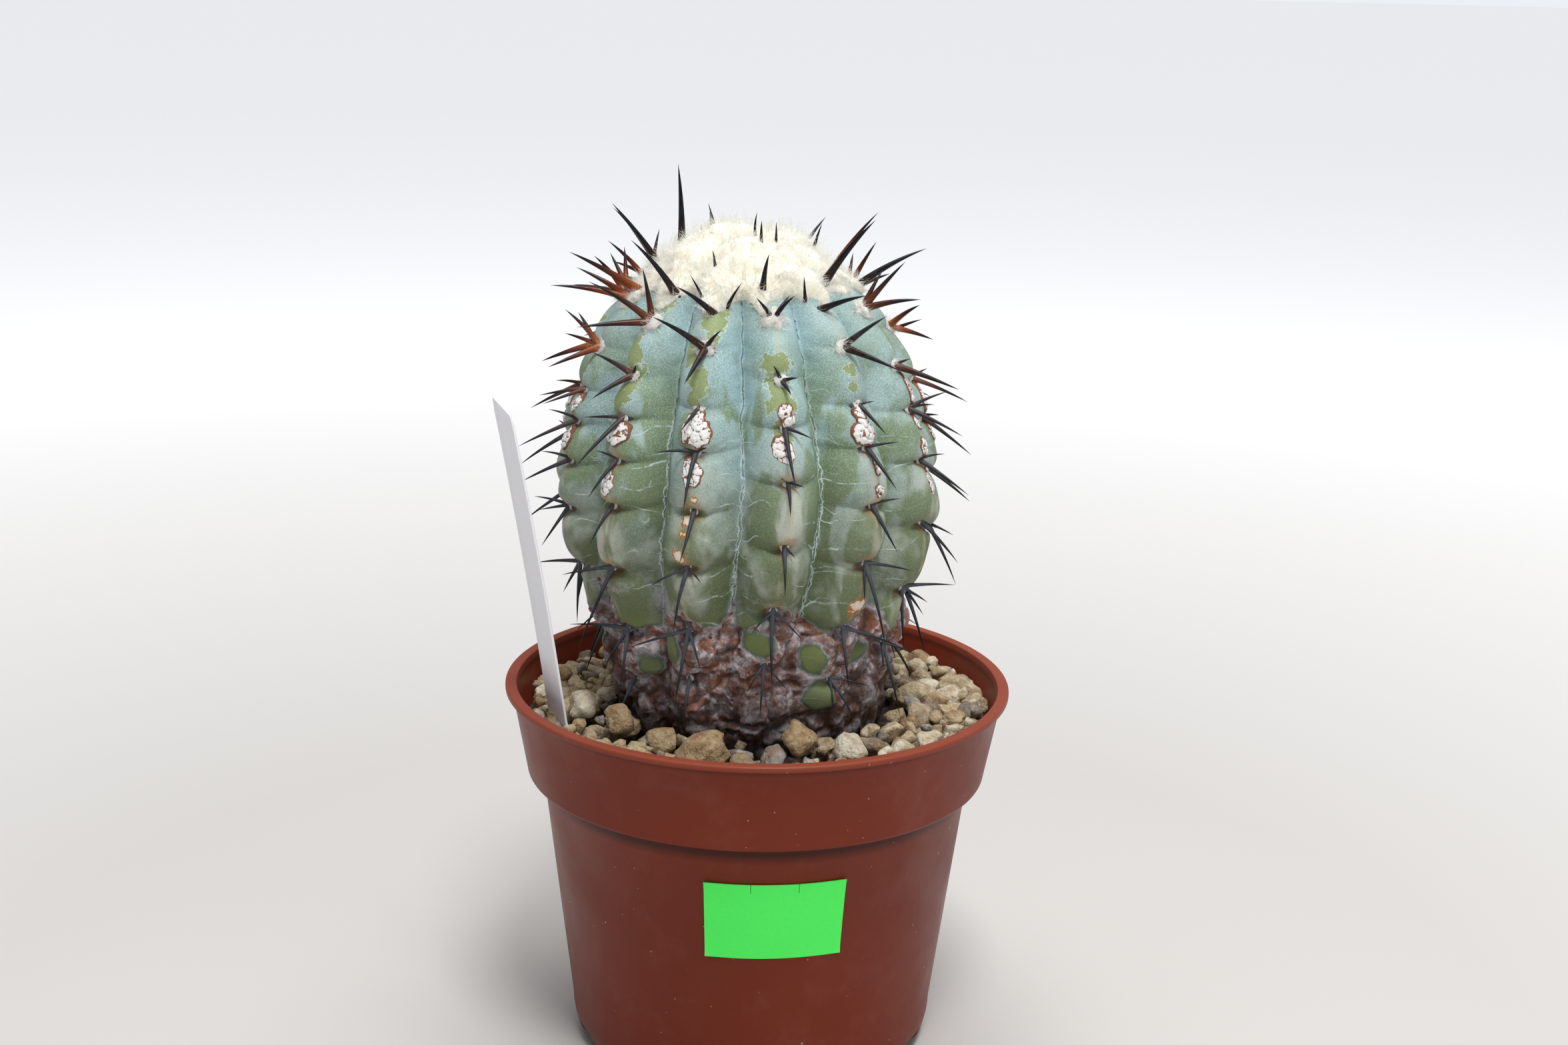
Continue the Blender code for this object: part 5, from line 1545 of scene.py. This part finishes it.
def label_strip():
    """The bent plastic strip, its top edge cut aslant."""
    bm = bmesh.new()
    width = Vector((*LABEL_WIDTH, 0))
    face = Vector((LABEL_WIDTH[1], -LABEL_WIDTH[0], 0)).normalized()
    rings = []
    for row in range(LABEL_ROWS + 1):
        height = LABEL_BOTTOM + (LABEL_TOP - LABEL_BOTTOM) * row / LABEL_ROWS
        above = height - LABEL_FOOT[2]
        bend = LABEL_BEND * above ** 2 if above > 0 else 0
        middle = Vector((LABEL_FOOT[0] + LABEL_SLOPE * above + bend, LABEL_FOOT[1], height))
        cut = LABEL_CORNER_CUT / 2 if row == LABEL_ROWS else 0
        ring = []
        for across, through in ((1, 1), (1, -1), (-1, -1), (-1, 1)):
            point = middle + width / 2 * across + face * LABEL_THICKNESS / 2 * through
            point.z -= cut * across
            ring.append(bm.verts.new(point * MM + Vector((0, 0, RIM))))
        rings.append(ring)
    for low, high in zip(rings, rings[1:]):
        for index in range(4):
            after = (index + 1) % 4
            bm.faces.new((low[index], low[after], high[after], high[index]))
    bm.faces.new(rings[0])
    bm.faces.new(rings[-1])
    bmesh.ops.recalc_face_normals(bm, faces=bm.faces)
    if bm.calc_volume(signed=True) < 0:
        bmesh.ops.reverse_faces(bm, faces=bm.faces)
    return finished(bm, "label_strip")


def label_look(node, place):
    """White sheet PVC: smooth, with soil smears, and light goes a little way into it."""
    smear = node("noise", place, 90.0, 6.0, 0.7)
    low = node("range", node("separate", place, output="Z"), RIM + 0.03, RIM - 0.006, 0.0, 0.35)
    smear = node("multiply", node("range", smear, 0.45, 0.8, 0.0, 1.0), low)
    colour = node("mix", smear, "#EDEEF2", "#A89C8C")
    return {"Base Color": colour, "Roughness": 0.42, "Normal": node("bump", 0.08, 0.0002, smear),
            "Subsurface Weight": 0.25, "Subsurface Scale": 0.001}


def sticker_patch():
    """The paper patch bent to the wall's cone, open at its two slits."""
    left, right = STICKER_ANGLES
    top, bottom = STICKER_HEIGHTS
    width = math.radians(right - left) * (WALL_TOP_RADIUS - 2)
    half = SLIT_WIDTH / width / 2
    cuts = {slit + side for slit in STICKER_SLITS for side in (-half, half)}
    columns = sorted(set(np.linspace(0, 1, STICKER_COLUMNS)) | cuts)
    rows = [0, SLIT_LENGTH / 2, SLIT_LENGTH, *np.linspace(SLIT_LENGTH, top - bottom, STICKER_ROWS)[1:]]
    bm = bmesh.new()
    grid = []
    for down in rows:
        height = top - down
        share = (height + RIM / MM - FOOT_ROUND) / (RIM / MM - COLLAR_HEIGHT - FOOT_ROUND)
        wall = WALL_FOOT_RADIUS + (WALL_TOP_RADIUS - WALL_FOOT_RADIUS) * share
        line = []
        for column in columns:
            turn = math.radians(left + (right - left) * column)
            edge = min(column, 1 - column) * width
            corner = math.hypot(edge, min(down, top - bottom - down))
            lift = CORNER_LIFT[0] * math.exp(-corner / CORNER_LIFT[1])
            lift += STICKER_WAVES * noise.noise(Vector((column * 5, down / 4, 2)))
            radius = wall + STICKER_GAP + lift + STICKER_THICKNESS
            line.append(bm.verts.new((radius * MM * math.sin(turn), -radius * MM * math.cos(turn),
                                      RIM + height * MM)))
        grid.append(line)
    for row, (high, low) in enumerate(zip(grid, grid[1:])):
        for column in range(len(columns) - 1):
            middle = (columns[column] + columns[column + 1]) / 2
            slit = any(abs(middle - place) * width < SLIT_WIDTH / 2 for place in STICKER_SLITS)
            if slit and rows[row] < SLIT_LENGTH:
                continue
            bm.faces.new((low[column], low[column + 1], high[column + 1], high[column]))
    return finished(bm, "paper_patch")


def paper_look(node, place, colour):
    """Fluorescent label paper: a dye that gives back more light than it gets, and fine fibre."""
    fibre = node("noise", place, 1300.0, 4.0)
    base = linear(colour)
    worn = (*(channel * 0.9 for channel in base[:3]), 1)
    body = node("mix", fibre, worn, base)
    return {"Base Color": body, "Roughness": 0.7, "Normal": node("bump", 0.15, 0.0001, fibre),
            "Emission Color": base, "Emission Strength": 0.12}


def floor_look(node, place):
    """Matt paper that glows a little far from the plant, as a lit backdrop does."""
    glow = node("range", node("vector_length", place), 0.2, 0.9, 0.0, 0.7)
    return {"Base Color": "#C8C5C1", "Roughness": 0.9, "Emission Color": "#F6F8FC",
            "Emission Strength": glow}


class MakeStem(bpy.types.Operator):
    """Make the ribbed stem with its waxy skin and corky base"""
    bl_idname = "copiapoa.make_stem"
    bl_label = "Make stem"

    def execute(self, context):
        settings = context.scene.copiapoa_stem
        skin = new_object("cactus_skin", build_stem(settings))
        grow(skin, skin_relief_tree(), {
            "Cork relief": settings.cork_relief, "Cork grain": settings.cork_grain,
            "Skin relief": settings.skin_relief,
            "Material": new_material("waxy_cactus_skin", skin_look)})
        present(skin, "cactus_stem")
        return {"FINISHED"}


class MakeSpines(bpy.types.Operator):
    """Make the spines of the stem and of the crown"""
    bl_idname = "copiapoa.make_spines"
    bl_label = "Make spines"

    def execute(self, context):
        settings = context.scene.copiapoa_spines
        horn = new_material("horny_spine", spine_look)
        tree = spine_tree()
        for name, spines, node, slot in (("stem_spines", stem_spines(), "cactus_stem", "cactus_skin"),
                                         ("crown_spines", crown_spines(), "crown_wool", "wool")):
            piece = new_object(name, spine_lines(name, spines, settings.fullness))
            grow(piece, tree, {"Sides": settings.sides, "Material": horn})
            present(piece, node)
        return {"FINISHED"}


class MakeWool(bpy.types.Operator):
    """Make the crown's wool and the felt on the areoles"""
    bl_idname = "copiapoa.make_wool"
    bl_label = "Make wool"

    def execute(self, context):
        settings = context.scene.copiapoa_wool
        share = 1
        tree = fibre_tree()
        cotton = new_material("crown_wool", wool_look, "#F1EEE1", "#ECE4CE", 0.12)
        for name, ground, count, stretch, seed in (("crown_fleece", True, 1.12, 0.7, 0),
                                                   ("crown_wisps", False, 1.28, 1.0, 2)):
            piece = new_object(name, wool_pad())
            grow(piece, tree, {
                "Density": settings.density * share * count, "Length": settings.length * stretch,
                "Curl": settings.curl * stretch, "Thickness": settings.thickness, "Ground": ground,
                "Seed": settings.seed + seed, "Material": cotton})
            present(piece, "crown_wool")
        felt = new_object("areole_felt", felt_pads())
        grow(felt, tree, {
            "Density": settings.pad_density * share, "Length": settings.length * 0.5,
            "Curl": settings.curl * 0.5, "Thickness": settings.thickness * 0.9, "Ground": True,
            "Seed": settings.seed + 1,
            "Material": new_material("areole_felt", wool_look, "#F7F5EE", "#E9E2D2", 0.45)})
        present(felt, "cactus_stem")
        return {"FINISHED"}


class MakeCrusts(bpy.types.Operator):
    """Make the chalky crusts beside the older areoles"""
    bl_idname = "copiapoa.make_crusts"
    bl_label = "Make crusts"

    def execute(self, context):
        crusts = new_object("areole_crusts", crust_mesh(), new_material("chalky_crust", crust_look))
        present(crusts, "cactus_stem")
        return {"FINISHED"}


class MakeGravel(bpy.types.Operator):
    """Make the stones, the grit between them and the soil below"""
    bl_idname = "copiapoa.make_gravel"
    bl_label = "Make gravel"

    def execute(self, context):
        settings = context.scene.copiapoa_gravel
        draw = random.Random(settings.seed)
        shapes = bpy.data.collections.new("stone_shapes")
        for kind in range(STONE_KINDS):
            shape = stone_shape(f"stone_{kind:02}", draw, 4 if kind == 0 else
                                3 if kind < STONE_KINDS - SMALL_KINDS else 2)
            bpy.context.scene.collection.objects.unlink(shape)
            shapes.objects.link(shape)
        piece = new_object("gravel_stones", stone_points(drop_stones(settings), draw))
        gravel = new_material("river_gravel", stone_look)
        grow(piece, stone_tree(), {"Stones": shapes, "Material": gravel})
        for shape in list(shapes.objects):
            bpy.data.objects.remove(shape, do_unlink=True)
        bpy.data.collections.remove(shapes)
        present(piece, "gravel")
        grit = new_object("gravel_grit", grit_bed(), new_material("soil_grit", soil_look))
        present(grit, "gravel")
        soil = frame["nodes"]["soil"]
        soil.data.materials.clear()
        soil.data.materials.append(new_material("potting_soil", soil_look))
        return {"FINISHED"}


class MakePot(bpy.types.Operator):
    """Make the plastic pot with its drain slots"""
    bl_idname = "copiapoa.make_pot"
    bl_label = "Make pot"

    def execute(self, context):
        settings = context.scene.copiapoa_pot
        pot = pot_body(settings)
        plastic = new_material("moulded_polypropylene", plastic_look, tuple(settings.plastic))
        pot.data.materials.clear()
        pot.data.materials.append(plastic)
        present(pot, "pot")
        return {"FINISHED"}


class MakeLabels(bpy.types.Operator):
    """Make the blank plant label and the blank paper sticker"""
    bl_idname = "copiapoa.make_labels"
    bl_label = "Make labels"

    def execute(self, context):
        settings = context.scene.copiapoa_pot
        label = new_object("label_strip", label_strip(), new_material("white_sheet_pvc", label_look))
        soften = label.modifiers.new("soft_edges", "BEVEL")
        soften.width = LABEL_SOFTNESS * MM
        soften.segments = 2
        settle(label)
        label.data.set_sharp_from_angle(angle=math.radians(LABEL_SHARP_ANGLE))
        present(label, "plant_label")
        paper = new_material("fluorescent_label_paper", paper_look, tuple(settings.paper))
        patch = new_object("paper_patch", sticker_patch(), paper)
        thicken = patch.modifiers.new("paper", "SOLIDIFY")
        thicken.thickness = STICKER_THICKNESS * MM
        thicken.offset = -1
        settle(patch)
        patch.data.set_sharp_from_angle(angle=math.radians(SHARP_ANGLE))
        present(patch, "paper_sticker")
        return {"FINISHED"}


class MakeStage(bpy.types.Operator):
    """Make the plain floor, the soft light and the camera at the photo's viewing angle"""
    bl_idname = "copiapoa.make_stage"
    bl_label = "Make stage"

    def execute(self, context):
        scene = context.scene
        bm = bmesh.new()
        bmesh.ops.create_grid(bm, size=15)
        floor = new_object("floor", finished(bm, "floor"), new_material("matt_paper_floor", floor_look))
        world = bpy.data.worlds.new("soft_room")
        world.use_nodes = True
        # The room's far wall looks white, but lights the plant softly
        seen = add(world.node_tree, "ShaderNodeLightPath", output="Is Camera Ray")
        strength = add(world.node_tree, "range", seen, 0.0, 1.0, 0.3, 0.95)
        feed(world.node_tree.nodes["Background"], (("Color", "#F2F6FC"), ("Strength", strength)))
        scene.world = world
        for name, place, size, energy in LAMPS:
            lamp = bpy.data.lights.new(name, "AREA")
            lamp.size = size
            lamp.energy = energy
            light = bpy.data.objects.new(name, lamp)
            light.location = place
            way = Vector((0, 0, LAMP_AIM)) - light.location
            light.rotation_euler = way.to_track_quat("-Z", "Y").to_euler()
            scene.collection.objects.link(light)
        pitch = math.radians(CAMERA_PITCH)
        roll = math.radians(CAMERA_ROLL)
        forward = Vector((0, math.cos(pitch), -math.sin(pitch)))
        right = Vector((1, 0, 0))
        up = right.cross(forward)
        tilted_right = right * math.cos(roll) + up * math.sin(roll)
        tilted_up = up * math.cos(roll) - right * math.sin(roll)
        data = bpy.data.cameras.new("camera")
        data.lens = CAMERA_LENS
        data.sensor_width = SENSOR_WIDTH
        data.clip_start = 0.01
        camera = bpy.data.objects.new("camera", data)
        turn = Matrix((tilted_right, tilted_up, -forward)).transposed().to_4x4()
        camera.matrix_world = Matrix.Translation(Vector(CAMERA_PLACE) * MM + Vector((0, 0, RIM))) @ turn
        scene.collection.objects.link(camera)
        scene.camera = camera
        scene.view_settings.view_transform = "Standard"
        return {"FINISHED"}


class CopiapoaPanel(bpy.types.Panel):
    """The makers of each group of pieces"""
    bl_idname = "VIEW3D_PT_copiapoa"
    bl_label = "Potted copiapoa"
    bl_space_type = "VIEW_3D"
    bl_region_type = "UI"
    bl_category = "Copiapoa"

    def draw(self, context):
        for maker in MAKERS:
            self.layout.operator(maker.bl_idname)
        for group in SETTINGS:
            box = self.layout.box()
            box.label(text=group.__doc__)
            values = getattr(context.scene, group_name(group))
            for name in group.__annotations__:
                box.prop(values, name)


SETTINGS = (StemSettings, SpineSettings, WoolSettings, GravelSettings, PotSettings)
MAKERS = (MakePot, MakeGravel, MakeStem, MakeSpines, MakeWool, MakeCrusts, MakeLabels, MakeStage)


def group_name(group):
    """The scene property that holds a group of settings."""
    return "copiapoa_" + group.__name__.removesuffix("Settings").lower().replace("spine", "spines")


def register():
    """Register the classes and hang the settings on the scene."""
    for part in (*SETTINGS, *MAKERS, CopiapoaPanel):
        bpy.utils.register_class(part)
    for group in SETTINGS:
        setattr(bpy.types.Scene, group_name(group), PointerProperty(type=group))


def unregister():
    """Take the settings and the classes away again."""
    for group in SETTINGS:
        delattr(bpy.types.Scene, group_name(group))
    for part in reversed((*SETTINGS, *MAKERS, CopiapoaPanel)):
        bpy.utils.unregister_class(part)


def main():
    """Build every piece and the stage."""
    register()
    for maker in MAKERS:
        group, name = maker.bl_idname.split(".")
        getattr(getattr(bpy.ops, group), name)()


if __name__ == "__main__":
    main()
